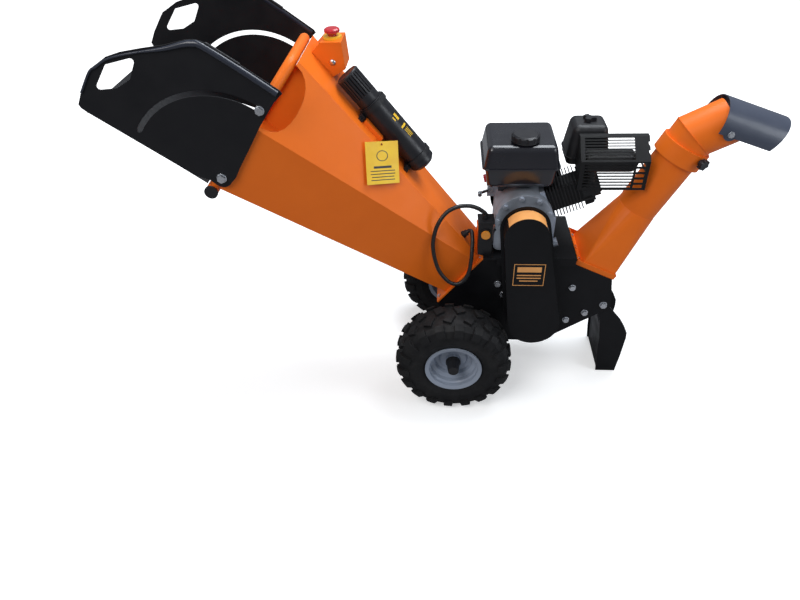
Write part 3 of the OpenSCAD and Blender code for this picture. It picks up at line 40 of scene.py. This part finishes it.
# Camera at the photograph's viewpoint, in radians, metres and pixels
YAW, PITCH, ROLL = -0.092, 0.688, -0.047
CAMERA_AT = (-0.0123, -1.5891, 1.5389)
FOCAL_PX, PICTURE_PX, SENSOR_MM = 617.22, 800, 36


def make_camera():
    ahead = Vector((math.sin(YAW) * math.cos(PITCH), math.cos(YAW) * math.cos(PITCH), -math.sin(PITCH)))
    right = Vector((math.cos(YAW), -math.sin(YAW), 0))
    up = right.cross(ahead)
    rolled_right = math.cos(ROLL) * right + math.sin(ROLL) * up
    rolled_up = -math.sin(ROLL) * right + math.cos(ROLL) * up
    data = bpy.data.cameras.new("camera")
    data.sensor_width = SENSOR_MM
    data.sensor_fit = "HORIZONTAL"
    data.lens = FOCAL_PX / PICTURE_PX * SENSOR_MM
    data.clip_start = 0.05
    camera = bpy.data.objects.new("camera", data)
    scene.collection.objects.link(camera)
    pose = Matrix((rolled_right, rolled_up, -ahead)).transposed().to_4x4()
    pose.translation = Vector(CAMERA_AT)
    camera.matrix_world = pose
    scene.camera = camera


make_camera()


class Mat:
    """A procedural material round one Principled shader, in object coordinates."""

    def __init__(self, name):
        self.material = bpy.data.materials.new(name)
        self.material.use_nodes = True
        self.tree = self.material.node_tree
        self.shader = self.tree.nodes["Principled BSDF"]
        self.co = self.new("ShaderNodeTexCoord").outputs["Object"]

    def new(self, kind, **inputs):
        n = self.tree.nodes.new(kind)
        for k, v in inputs.items():
            n.inputs[k].default_value = v
        return n

    def link(self, a, b):
        self.tree.links.new(a, b)

    def noise(self, scale, detail=3, squeeze=None):
        n = self.new("ShaderNodeTexNoise", Scale=scale, Detail=detail, Roughness=0.55)
        co = self.co
        if squeeze:
            co = self.new("ShaderNodeMapping", Scale=squeeze)
            self.link(self.co, co.inputs["Vector"])
            co = co.outputs[0]
        self.link(co, n.inputs["Vector"])
        return n.outputs["Fac"]

    def remap(self, src, a, b, lo=0.3, hi=0.7):
        """Maps lo..hi, by default where most of the noise lies, to a..b."""
        n = self.new("ShaderNodeMapRange", **{"From Min": lo, "From Max": hi, "To Min": a, "To Max": b})
        self.link(src, n.inputs["Value"])
        return n.outputs["Result"]

    def mix(self, fac, a, b):
        n = self.tree.nodes.new("ShaderNodeMix")
        n.data_type = "RGBA"
        factor, color_a, color_b, result = n.inputs[0], n.inputs[6], n.inputs[7], n.outputs[2]
        for socket, v in ((color_a, a), (color_b, b)):
            if isinstance(v, tuple):
                socket.default_value = (*v, 1)
            else:
                self.link(v, socket)
        self.link(fac, factor)
        return result

    def color(self, out):
        self.link(out, self.shader.inputs["Base Color"])

    def rough(self, src, a, b):
        self.link(self.remap(src, a, b), self.shader.inputs["Roughness"])

    def bump(self, *layers, bevel=0.0):
        """Layers of (height, distance) over normals rounded by the bevel's radius."""
        normal = None
        if bevel:
            edge = self.new("ShaderNodeBevel", Radius=bevel)
            edge.samples = 4
            normal = edge.outputs[0]
        for src, distance in layers:
            n = self.new("ShaderNodeBump", Strength=1.0, Distance=distance)
            self.link(src, n.inputs["Height"])
            if normal:
                self.link(normal, n.inputs["Normal"])
            normal = n.outputs[0]
        self.link(normal, self.shader.inputs["Normal"])

    def set(self, **inputs):
        for k, v in inputs.items():
            self.shader.inputs[k.replace("_", " ")].default_value = v


def tone(c, k):
    return tuple(min(1.0, x * k) for x in c)


def cloudy(m, base, worn, amount, scale):
    """The base colour with slow patches of the worn one."""
    return m.mix(m.remap(m.noise(scale, 4), 0, amount), base, worn)


def paint(name, base, worn, rough, coat, peel=0.00006, shine=0.5):
    m = Mat(name)
    m.color(cloudy(m, base, worn, 0.6, 9))
    m.rough(m.noise(24, 5), rough * 0.85, rough * 1.25)
    m.bump((m.noise(900, 2), peel), (m.noise(14, 2), 0.0004), bevel=0.0009)
    m.set(Coat_Weight=coat, Coat_Roughness=0.12, Specular_IOR_Level=shine)
    return m.material


def steel(name, base, rough, squeeze=(1, 1, 1)):
    m = Mat(name)
    lines = m.noise(260, 4, squeeze)
    m.color(m.mix(m.remap(lines, 0, 1), base, tone(base, 0.78)))
    m.rough(m.noise(60, 4), rough * 0.8, rough * 1.4)
    m.bump((lines, 0.00004), bevel=0.0006)
    m.set(Metallic=1.0)
    return m.material


def cast(name, base, rough, metallic=0.9, grain=0.00018, scale=520):
    m = Mat(name)
    g = m.noise(scale, 3)
    m.color(m.mix(m.remap(m.noise(18, 4), 0, 0.8), base, tone(base, 0.6)))
    m.rough(g, rough * 0.8, rough * 1.3)
    m.bump((g, grain), bevel=0.0012)
    m.set(Metallic=metallic)
    return m.material


def plastic(name, base, rough=0.45, coat=0.0):
    m = Mat(name)
    g = m.noise(1400, 2)
    m.color(cloudy(m, base, tone(base, 1.35), 0.7, 22))
    m.rough(m.noise(35, 4), rough * 0.85, rough * 1.2)
    m.bump((g, 0.00005), bevel=0.0008)
    m.set(Coat_Weight=coat, Coat_Roughness=0.1)
    return m.material


def rubber(name, base, dusty):
    m = Mat(name)
    m.color(m.mix(m.remap(m.noise(16, 5), 0, 0.35, 0.45, 0.75), base, dusty))
    m.rough(m.noise(45, 4), 0.55, 0.8)
    m.bump((m.noise(1500, 2), 0.00008), (m.noise(90, 3), 0.0003), bevel=0.0015)
    m.set(Specular_IOR_Level=0.35)
    return m.material


M = {
    "orange": paint("orange_paint", (0.92, 0.185, 0.016), (0.84, 0.158, 0.013), 0.36, 0.0, shine=0.22),
    "black_paint": paint("black_paint", (0.005, 0.005, 0.006), (0.009, 0.009, 0.011), 0.4, 0.0, shine=0.22),
    "flap": paint("flap_paint", (0.007, 0.007, 0.009), (0.011, 0.011, 0.013), 0.46, 0.0, 0.00012, 0.3),
    # Rolled flap edge: the flap's black paint made lighter and bluer, a painted blue-grey sheen along the lip
    "sheen_roll": paint("roll_sheen_paint", (0.016, 0.02, 0.034), (0.024, 0.029, 0.046), 0.3, 0.35),
    "hood": paint("hood_paint", (0.05, 0.06, 0.09), (0.065, 0.077, 0.112), 0.36, 0.2),
    "steel": steel("zinc_steel", (0.82, 0.84, 0.88), 0.24),
    "machined": cast("machined_iron", (0.32, 0.32, 0.33), 0.4),
    "blade": steel("ground_steel", (0.66, 0.66, 0.67), 0.22, (1, 14, 1)),
    "tyre": rubber("tyre_rubber", (0.005, 0.005, 0.006), (0.03, 0.029, 0.028)),
    "rim": paint("rim_silver", (0.33, 0.375, 0.46), (0.27, 0.31, 0.385), 0.3, 0.3),
    "plastic": plastic("black_plastic", (0.008, 0.008, 0.010)),
    "cap": plastic("fine_plastic", (0.011, 0.011, 0.014), 0.34),
    "belt": rubber("belt_rubber", (0.014, 0.014, 0.014), (0.03, 0.03, 0.03)),
    "alloy": cast("cast_alloy", (0.56, 0.61, 0.7), 0.36, 0.6, 0.00025, 420),
    "engine": cast("engine_black", (0.02, 0.02, 0.022), 0.45, 0.3, 0.0002),
    "tank": paint("tank_paint", (0.009, 0.009, 0.014), (0.012, 0.012, 0.018), 0.24, 0.7),
    "guard": paint("guard_paint", (0.008, 0.008, 0.009), (0.014, 0.014, 0.014), 0.42, 0.0, shine=0.25),
    "muffler": paint("muffler_paint", (0.03, 0.03, 0.032), (0.055, 0.052, 0.05), 0.5, 0.0),
    "red": plastic("red_plastic", (0.5, 0.02, 0.03), 0.28, 0.4),
    "yellow": plastic("yellow_plastic", (0.85, 0.5, 0.03), 0.35, 0.2),
    "amber": plastic("amber_plastic", (0.9, 0.3, 0.03), 0.3, 0.3),
    "card": plastic("coated_card", (0.86, 0.50, 0.025)),
    "band": plastic("band_print", (0.83, 0.36, 0.11), 0.4),
    "conduit": plastic("conduit_sleeve", (0.012, 0.012, 0.013), 0.3),
}
WEAR = {
    "orange": "hopper_shell hopper_flange mouth_hoop stop_box chute chute_elbow",
    "black_paint": "side_plates rotor_casing engine_deck rotor_bearings guard_backplate guard_cover leg",
    "flap": "infeed_flaps infeed_floor",
    "hood": "deflector",
    "steel": "axle pivot_bolts deflector_bolts frame_bolts throttle_lever choke_lever",
    "machined": "rotor rotor_pulley clutch_pulley crankshaft",
    "blade": "rotor_blades anvil",
    "tyre": "tyre_left tyre_right",
    "rim": "rim_left rim_right",
    "plastic": "tube_caps hub_cap_left hub_cap_right canister_clips air_cleaner switch_box cable_gland",
    "cap": "chute_knob air_knob fuel_cap canister canister_cap",
    "belt": "drive_belts",
    "alloy": "crankcase carburettor",
    "engine": "cylinder_block valve_cover",
    "tank": "fuel_tank fan_housing recoil_starter",
    "guard": "muffler_guard",
    "muffler": "muffler",
    "red": "stop_button engine_switch",
    "yellow": "stop_collar",
    "amber": "switch_button",
    "card": "hang_tag",
    "conduit": "cable_loop",
}
for key, names in WEAR.items():
    for name in names.split():
        ob = nodes[name]
        for material_slot in ob.material_slots:
            material_slot.material = M[key]
        if not ob.material_slots:
            ob.data.materials.append(M[key])


def turn(axis, degrees):
    return Matrix.Rotation(math.radians(degrees), 4, axis)


def shift(x, y, z):
    return Matrix.Translation((x, y, z))


# Frames shared with the solids: the hopper's floor and its top facet
AXLE_X = 0.018443
FACET_FALL = 13.7015
CORNER_ANGLE = 50.6482
HOPPER = shift(AXLE_X - 0.035, 0, 0.323) @ turn("Y", 38.4)
FACET = HOPPER @ shift(-0.726, 0, 0.352) @ turn("Y", FACET_FALL)


def make(name, verts, faces, mat, body="machine", sharp=35):
    """A shaded mesh object that rides on the body."""
    me = bpy.data.meshes.new(name)
    me.from_pydata([tuple(v) for v in verts], [], faces)
    bm = bmesh.new()
    bm.from_mesh(me)
    bmesh.ops.recalc_face_normals(bm, faces=bm.faces)
    bm.to_mesh(me)
    bm.free()
    me.shade_smooth()
    me.set_sharp_from_angle(angle=math.radians(sharp))
    me.materials.append(mat)
    o = bpy.data.objects.new(name, me)
    scene.collection.objects.link(o)
    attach(o, body)
    return o


def spline(points, step):
    """A smooth run through the points, at about one point each step."""
    p = [Vector(q) for q in points]
    p = [2 * p[0] - p[1]] + p + [2 * p[-1] - p[-2]]
    out = []
    for i in range(1, len(p) - 2):
        n = max(1, round((p[i + 1] - p[i]).length / step))
        a, b, c, d = p[i - 1 : i + 3]
        for k in range(n):
            t = k / n
            out.append(0.5 * (2 * b + (c - a) * t + (2 * a - 5 * b + 4 * c - d) * t * t
                              + (3 * b - a - 3 * c + d) * t**3))
    out.append(p[-2])
    return out


def bent(points, radius, steps=8):
    """A polyline with its corners rounded to that radius."""
    p = [Vector(q) for q in points]
    out = [p[0]]
    for a, b, c in zip(p, p[1:], p[2:]):
        u, v = (a - b).normalized(), (c - b).normalized()
        half = u.angle(v) / 2
        cut = radius / math.tan(half)
        centre = b + (u + v).normalized() * (radius / math.sin(half))
        start, end = b + u * cut - centre, b + v * cut - centre
        sweep = start.angle(end)
        for k in range(steps + 1):
            t = k / steps
            arm = start * math.sin((1 - t) * sweep) + end * math.sin(t * sweep)
            out.append(centre + arm / math.sin(sweep))
    out.append(p[-1])
    return out


def tube(name, path, radius, mat, sides, body="machine", sharp=35):
    """A swept tube. radius is a number or a function of the distance along the path."""
    r = radius if callable(radius) else (lambda d: radius)
    normal = Vector((0, 1, 0.01))
    verts, faces, run = [], [], 0.0
    for i, c in enumerate(path):
        along = (path[min(i + 1, len(path) - 1)] - path[max(i - 1, 0)]).normalized()
        normal = (normal - normal.dot(along) * along).normalized()
        across = along.cross(normal)
        if i:
            run += (c - path[i - 1]).length
        for k in range(sides):
            a = 2 * math.pi * k / sides
            verts.append(c + r(run) * (math.cos(a) * normal + math.sin(a) * across))
    for i in range(len(path) - 1):
        for k in range(sides):
            j = (k + 1) % sides
            faces.append((i * sides + k, i * sides + j, (i + 1) * sides + j, (i + 1) * sides + k))
    last = (len(path) - 1) * sides
    faces.append(tuple(range(sides)))
    faces.append(tuple(last + k for k in reversed(range(sides))))
    return make(name, verts, faces, mat, body, sharp)


def plate(name, place, outline, thick, mat, holes=()):
    """A flat plate in the frame's XY plane, from z 0 up to thick."""
    bm = bmesh.new()
    edges = []
    for loop in [outline, *holes]:
        vs = [bm.verts.new((x, y, 0)) for x, y in loop]
        edges += [bm.edges.new((vs[i], vs[(i + 1) % len(vs)])) for i in range(len(vs))]
    bmesh.ops.triangle_fill(bm, edges=edges, use_beauty=True)
    top = bmesh.ops.extrude_face_region(bm, geom=list(bm.faces))
    for v in top["geom"]:
        if isinstance(v, bmesh.types.BMVert):
            v.co.z += thick
    bm.verts.index_update()
    bm.transform(place)
    make(name, [v.co for v in bm.verts], [[v.index for v in f.verts] for f in bm.faces], mat)
    bm.free()


def rectangle(half_w, half_h, y=0.0):
    return [(-half_w, y - half_h), (half_w, y - half_h), (half_w, y + half_h), (-half_w, y + half_h)]


def turned(name, place, profile, mat, sides=28):
    """A lathe shape about the frame's Z axis from (radius, height) pairs."""
    angles = [2 * math.pi * k / sides for k in range(sides)]
    verts = [place @ Vector((r * math.cos(a), r * math.sin(a), z)) for r, z in profile for a in angles]
    faces = []
    for i in range(len(profile) - 1):
        for k in range(sides):
            j = (k + 1) % sides
            faces.append((i * sides + k, i * sides + j, (i + 1) * sides + j, (i + 1) * sides + k))
    faces += [tuple(range(sides)), tuple((len(profile) - 1) * sides + k for k in range(sides))]
    make(name, verts, faces, mat, sharp=40)


def strip(name, sections, mat):
    """A closed band of printed film through sections of four corners, inner before outer on each side."""
    verts = [v for section in sections for v in section]
    faces = []
    for i in range(len(sections) - 1):
        q = [4 * i + k for k in range(4)]
        n = [k + 4 for k in q]
        faces += [(q[0], q[2], n[2], n[0]), (q[1], n[1], n[3], q[3]),
                  (q[0], n[0], n[1], q[1]), (q[2], q[3], n[3], n[2])]
    faces += [(0, 1, 3, 2), tuple(len(verts) - 4 + k for k in (0, 2, 3, 1))]
    make(name, verts, faces, mat)


# Sleeved cable from the hopper's gland to the switch box, in millimetres from the axle
CABLE_RUN = [
    (34.168, -55, 533.723), (41.27, -55, 539.25), (47, -63, 542), (49, -76, 538), (50, -90, 526),
    (49, -104, 504), (47, -116, 472), (42, -122, 440), (31, -125, 414), (12, -127, 398), (-8, -128, 400),
    (-28, -128, 418), (-46, -128, 447), (-57, -127, 482), (-63, -126, 518), (-63, -126, 552),
    (-55, -123, 590), (-42, -118, 617), (-24, -111, 637), (-2, -105, 647), (20, -99, 649), (42, -94, 645),
    (62, -88, 634), (77, -82, 620), (84, -78, 611), (84, -78, 604),
]
SLEEVE_R = 0.00585
RIDGE_H = 0.00032
RIDGE_PITCH = 0.0034


def make_cable():
    path = spline([Vector(p) / 1000 + Vector((AXLE_X, 0, 0)) for p in CABLE_RUN], 0.001)

    def ridged(run):
        return SLEEVE_R + RIDGE_H * math.sin(2 * math.pi * run / RIDGE_PITCH)

    sleeve = tube("cable_sleeve", path, ridged, M["conduit"], 14, sharp=70)
    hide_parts("cable_loop")


# Bent mouth hoop with the tube across its foot, in the hopper's frame
HOOP_X = -0.740
HOOP_LINE = [(-0.208, -0.022), (-0.208, 0.198), (-0.097, 0.338), (0.097, 0.338), (0.208, 0.198), (0.208, -0.022)]
HOOP_BEND = 0.05
HOOP_R = 0.014
CROSS_R = 0.016
CROSS_END = 0.224
CROSS_Z = -0.022


def make_hoop():
    corners = [HOPPER @ Vector((HOOP_X, y, z)) for y, z in HOOP_LINE]
    hoop = tube("hoop_bent", bent(corners, HOOP_BEND), HOOP_R, M["orange"], 28)
    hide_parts("mouth_hoop")
    ends = [HOPPER @ Vector((HOOP_X, y, CROSS_Z)) for y in (-CROSS_END, CROSS_END)]
    tube("hoop_cross_tube", ends, CROSS_R, M["orange"], 28)


# Hang tag: card's centre in the hopper's frame, knot on the facet, plain print
TAG_AT = (-0.415, -0.1095, 0.262)
TAG_FACE = 0.00282
TAG_FILM = 0.00006
TAG_KNOT = (0.300, -0.054, 0.003)
STRING_R = 0.0009
TAG_LINES = [(0.052, 0.006), (0.072, 0.0022), (0.072, 0.0022), (0.066, 0.0022), (0.07, 0.0022)]
TAG_LINES_Y = -0.014
TAG_LINE_PITCH = 0.0078
RING_Y = 0.018
RING_W = 0.017
RING_H = 0.014
RING_INNER = 0.86


def make_tag():
    lean = math.atan2(math.sin(math.radians(FACET_FALL)) * 0.77, 1)
    card = HOPPER @ shift(*TAG_AT) @ turn("X", CORNER_ANGLE) @ Matrix.Rotation(lean, 4, "Y") @ turn("Z", 37)
    face = card @ shift(0, 0, TAG_FACE)
    start = card @ Vector((0, 0.050, 0.0020))
    hole = card @ Vector((0, 0.047, 0.0036))
    knot = FACET @ Vector(TAG_KNOT)
    slack = (hole + knot) / 2 + Vector((0, -0.004, -0.006))
    tube("tag_string", spline([start, hole, slack, knot], 0.003), STRING_R, M["cap"], 8)
    for i, (w, h) in enumerate(TAG_LINES):
        line = rectangle(w / 2, h / 2, TAG_LINES_Y - i * TAG_LINE_PITCH + h / 2)
        plate("tag_line_%d" % i, face, line, TAG_FILM, M["cap"])
    angles = [i * math.pi / 12 for i in range(24)]
    outer, inner = [[(k * RING_W * math.cos(a), RING_Y + k * RING_H * math.sin(a)) for a in angles]
                    for k in (1, RING_INNER)]
    plate("tag_mark", face, outer, TAG_FILM, M["cap"], [inner])


# Plain print on the belt guard: a band over its round top and a panel on its face
GUARD_TOP = (0.211443, 0.590)
BAND_DEGREES = range(34, 147, 4)
BAND_Y = (-0.1705, -0.126)
BAND_R = (0.0611, 0.0616)
PANEL_AT = (0.228, -0.172, 0.466)
PANEL_FILM = 0.0003
PANEL_BARS = [(0.034, 0.009, 0.019), (0.034, 0.0018, -0.001), (0.034, 0.0018, -0.011), (0.026, 0.0018, -0.021)]


def make_guard_print():
    x, z = GUARD_TOP
    sections = []
    for a in [math.radians(d) for d in BAND_DEGREES]:
        sections.append([Vector((x + r * math.cos(a), y, z + r * math.sin(a))) for y in BAND_Y for r in BAND_R])
    strip("guard_band", sections, M["band"])
    face = shift(*PANEL_AT) @ turn("X", 90)
    plate("panel_outline", face, rectangle(0.044, 0.038), PANEL_FILM, M["band"],
          [rectangle(0.042, 0.036)])
    for i, bar in enumerate(PANEL_BARS):
        plate("panel_bar_%d" % i, face, rectangle(*bar), PANEL_FILM, M["band"])


# Rolled edge round the front and along the top of each flap, in millimetres from the flap's pivot
ROLL_LINE = [(-359, 2), (-360, 62), (-352, 81), (-340, 110), (-318, 139), (-284, 175), (-244, 214),
             (-212, 251), (-197, 264), (-178, 272), (-90, 277.5), (6, 280)]
ROLL_PIVOT = (-0.736, 0, 0.0318)
ROLL_Y = 0.2335
ROLL_THIN_R = 0.0026
ROLL_THICKER = 0.0048
ROLL_SWELL = (0.2, 0.12)


def make_flap_rolls():
    pivot = HOPPER @ shift(*ROLL_PIVOT)

    def swelling(run):
        start, length = ROLL_SWELL
        return ROLL_THIN_R + ROLL_THICKER * min(1, max(0, (run - start) / length))

    for side, which in ((-1, "near"), (1, "far")):
        line = [pivot @ Vector((x / 1000, side * ROLL_Y, z / 1000)) for x, z in ROLL_LINE]
        # The rolls wear the paint with the painted blue-grey sheen, not the flap's own black
        tube("flap_roll_" + which, spline(line, 0.006), swelling, M["sheen_roll"], 16, "infeed")


# Silver screw on the stop button's box
SCREW_AT = (-0.652, 0.0082, 0.359)
SCREW_PROFILE = [(0.008, 0), (0.008, 0.0012), (0.0065, 0.003), (0.003, 0.0042), (0.0005, 0.0045)]

# Plain marks on the canister: x from, x to, degrees from, degrees to
CANISTER_AT = (0, -0.012, 0.039)
CANISTER_FILM_R = (0.0371, 0.03735)
CANISTER_MARKS = [(0.262, 0.282, 22, 34), (0.266, 0.278, 42, 48), (0.300, 0.306, 14, 44),
                  (0.312, 0.338, 20, 23), (0.312, 0.338, 28, 31), (0.312, 0.338, 36, 39)]
MARK_STEPS = 5


def make_small_parts():
    turned("box_screw", HOPPER @ shift(*SCREW_AT) @ turn("X", 90), SCREW_PROFILE, M["steel"])
    axis = FACET @ shift(*CANISTER_AT)
    for i, (x0, x1, a0, a1) in enumerate(CANISTER_MARKS):
        angles = [math.radians(a0 + (a1 - a0) * k / MARK_STEPS) for k in range(MARK_STEPS + 1)]
        sections = [[axis @ Vector((x, -r * math.sin(a), r * math.cos(a))) for x in (x0, x1) for r in CANISTER_FILM_R]
                    for a in angles]
        strip("canister_mark_%d" % i, sections, M["card"])


# Soft lamps: name, place, aim, size, power, colour
LAMPS = [
    ("key", (-1.6, -2.2, 3.4), (0, 0, 0.5), (2.0, 2.0), 66, (1, 0.985, 0.965)),
    ("top", (0.8, 0.9, 3.4), (0.1, 0, 0.6), (2.6, 1.8), 98, (0.9, 0.95, 1)),
    ("side", (3.0, -1.4, 1.6), (0.2, 0, 0.6), (1.2, 1.8), 26, (0.9, 0.95, 1)),
]
FLOOR_HALF = 15
FLOOR_Z = -0.0005
GLOW_NEAR = 0.42
GLOW_RADII = (0.9, 2.2)


def make_lamp(name, place, aim, size, power, color):
    lamp = bpy.data.lights.new(name, "AREA")
    lamp.shape = "RECTANGLE"
    lamp.size, lamp.size_y = size
    lamp.energy = power
    lamp.color = color
    o = bpy.data.objects.new(name, lamp)
    scene.collection.objects.link(o)
    o.location = place
    o.rotation_euler = (Vector(aim) - Vector(place)).to_track_quat("-Z", "Y").to_euler()


def make_world():
    """Pale bluish light on the object, white behind it in the picture."""
    world = bpy.data.worlds.new("studio")
    scene.world = world
    world.use_nodes = True
    tree = world.node_tree
    tree.nodes.clear()
    out = tree.nodes.new("ShaderNodeOutputWorld")
    ray = tree.nodes.new("ShaderNodeLightPath")
    lit = tree.nodes.new("ShaderNodeBackground")
    lit.inputs["Color"].default_value = (0.86, 0.92, 1, 1)
    lit.inputs["Strength"].default_value = 0.26
    seen = tree.nodes.new("ShaderNodeBackground")
    seen.inputs["Color"].default_value = (1, 1, 1, 1)
    either = tree.nodes.new("ShaderNodeMixShader")
    tree.links.new(ray.outputs["Is Camera Ray"], either.inputs[0])
    tree.links.new(lit.outputs[0], either.inputs[1])
    tree.links.new(seen.outputs[0], either.inputs[2])
    tree.links.new(either.outputs[0], out.inputs[0])


def make_floor():
    """White paper that keeps the shadow, and throws little light back."""
    me = bpy.data.meshes.new("floor")
    corners = [(-1, -1), (1, -1), (1, 1), (-1, 1)]
    me.from_pydata([(x * FLOOR_HALF, y * FLOOR_HALF, FLOOR_Z) for x, y in corners], [], [(0, 1, 2, 3)])
    floor = bpy.data.objects.new("floor", me)
    scene.collection.objects.link(floor)
    m = Mat("floor_paper")
    ray = m.new("ShaderNodeLightPath").outputs["Is Camera Ray"]
    paper = m.mix(m.noise(3), (0.9, 0.9, 0.9), (0.93, 0.93, 0.93))
    m.color(m.mix(ray, (0.3, 0.3, 0.31), paper))
    m.bump((m.noise(300, 2), 0.00005))
    m.set(Roughness=0.8, Specular_IOR_Level=0.1, Emission_Color=(1, 1, 1, 1))
    far = m.new("ShaderNodeVectorMath")
    far.operation = "LENGTH"
    m.link(m.co, far.inputs[0])
    glow = m.new("ShaderNodeMath")
    glow.operation = "MULTIPLY"
    m.link(m.remap(far.outputs["Value"], GLOW_NEAR, 1, *GLOW_RADII), glow.inputs[0])
    m.link(ray, glow.inputs[1])
    m.link(glow.outputs[0], m.shader.inputs["Emission Strength"])
    me.materials.append(m.material)


make_cable()
make_hoop()
make_tag()
make_guard_print()
make_flap_rolls()
make_small_parts()
make_world()
make_floor()
scene.view_settings.view_transform = "Standard"
for lamp_row in LAMPS:
    make_lamp(*lamp_row)
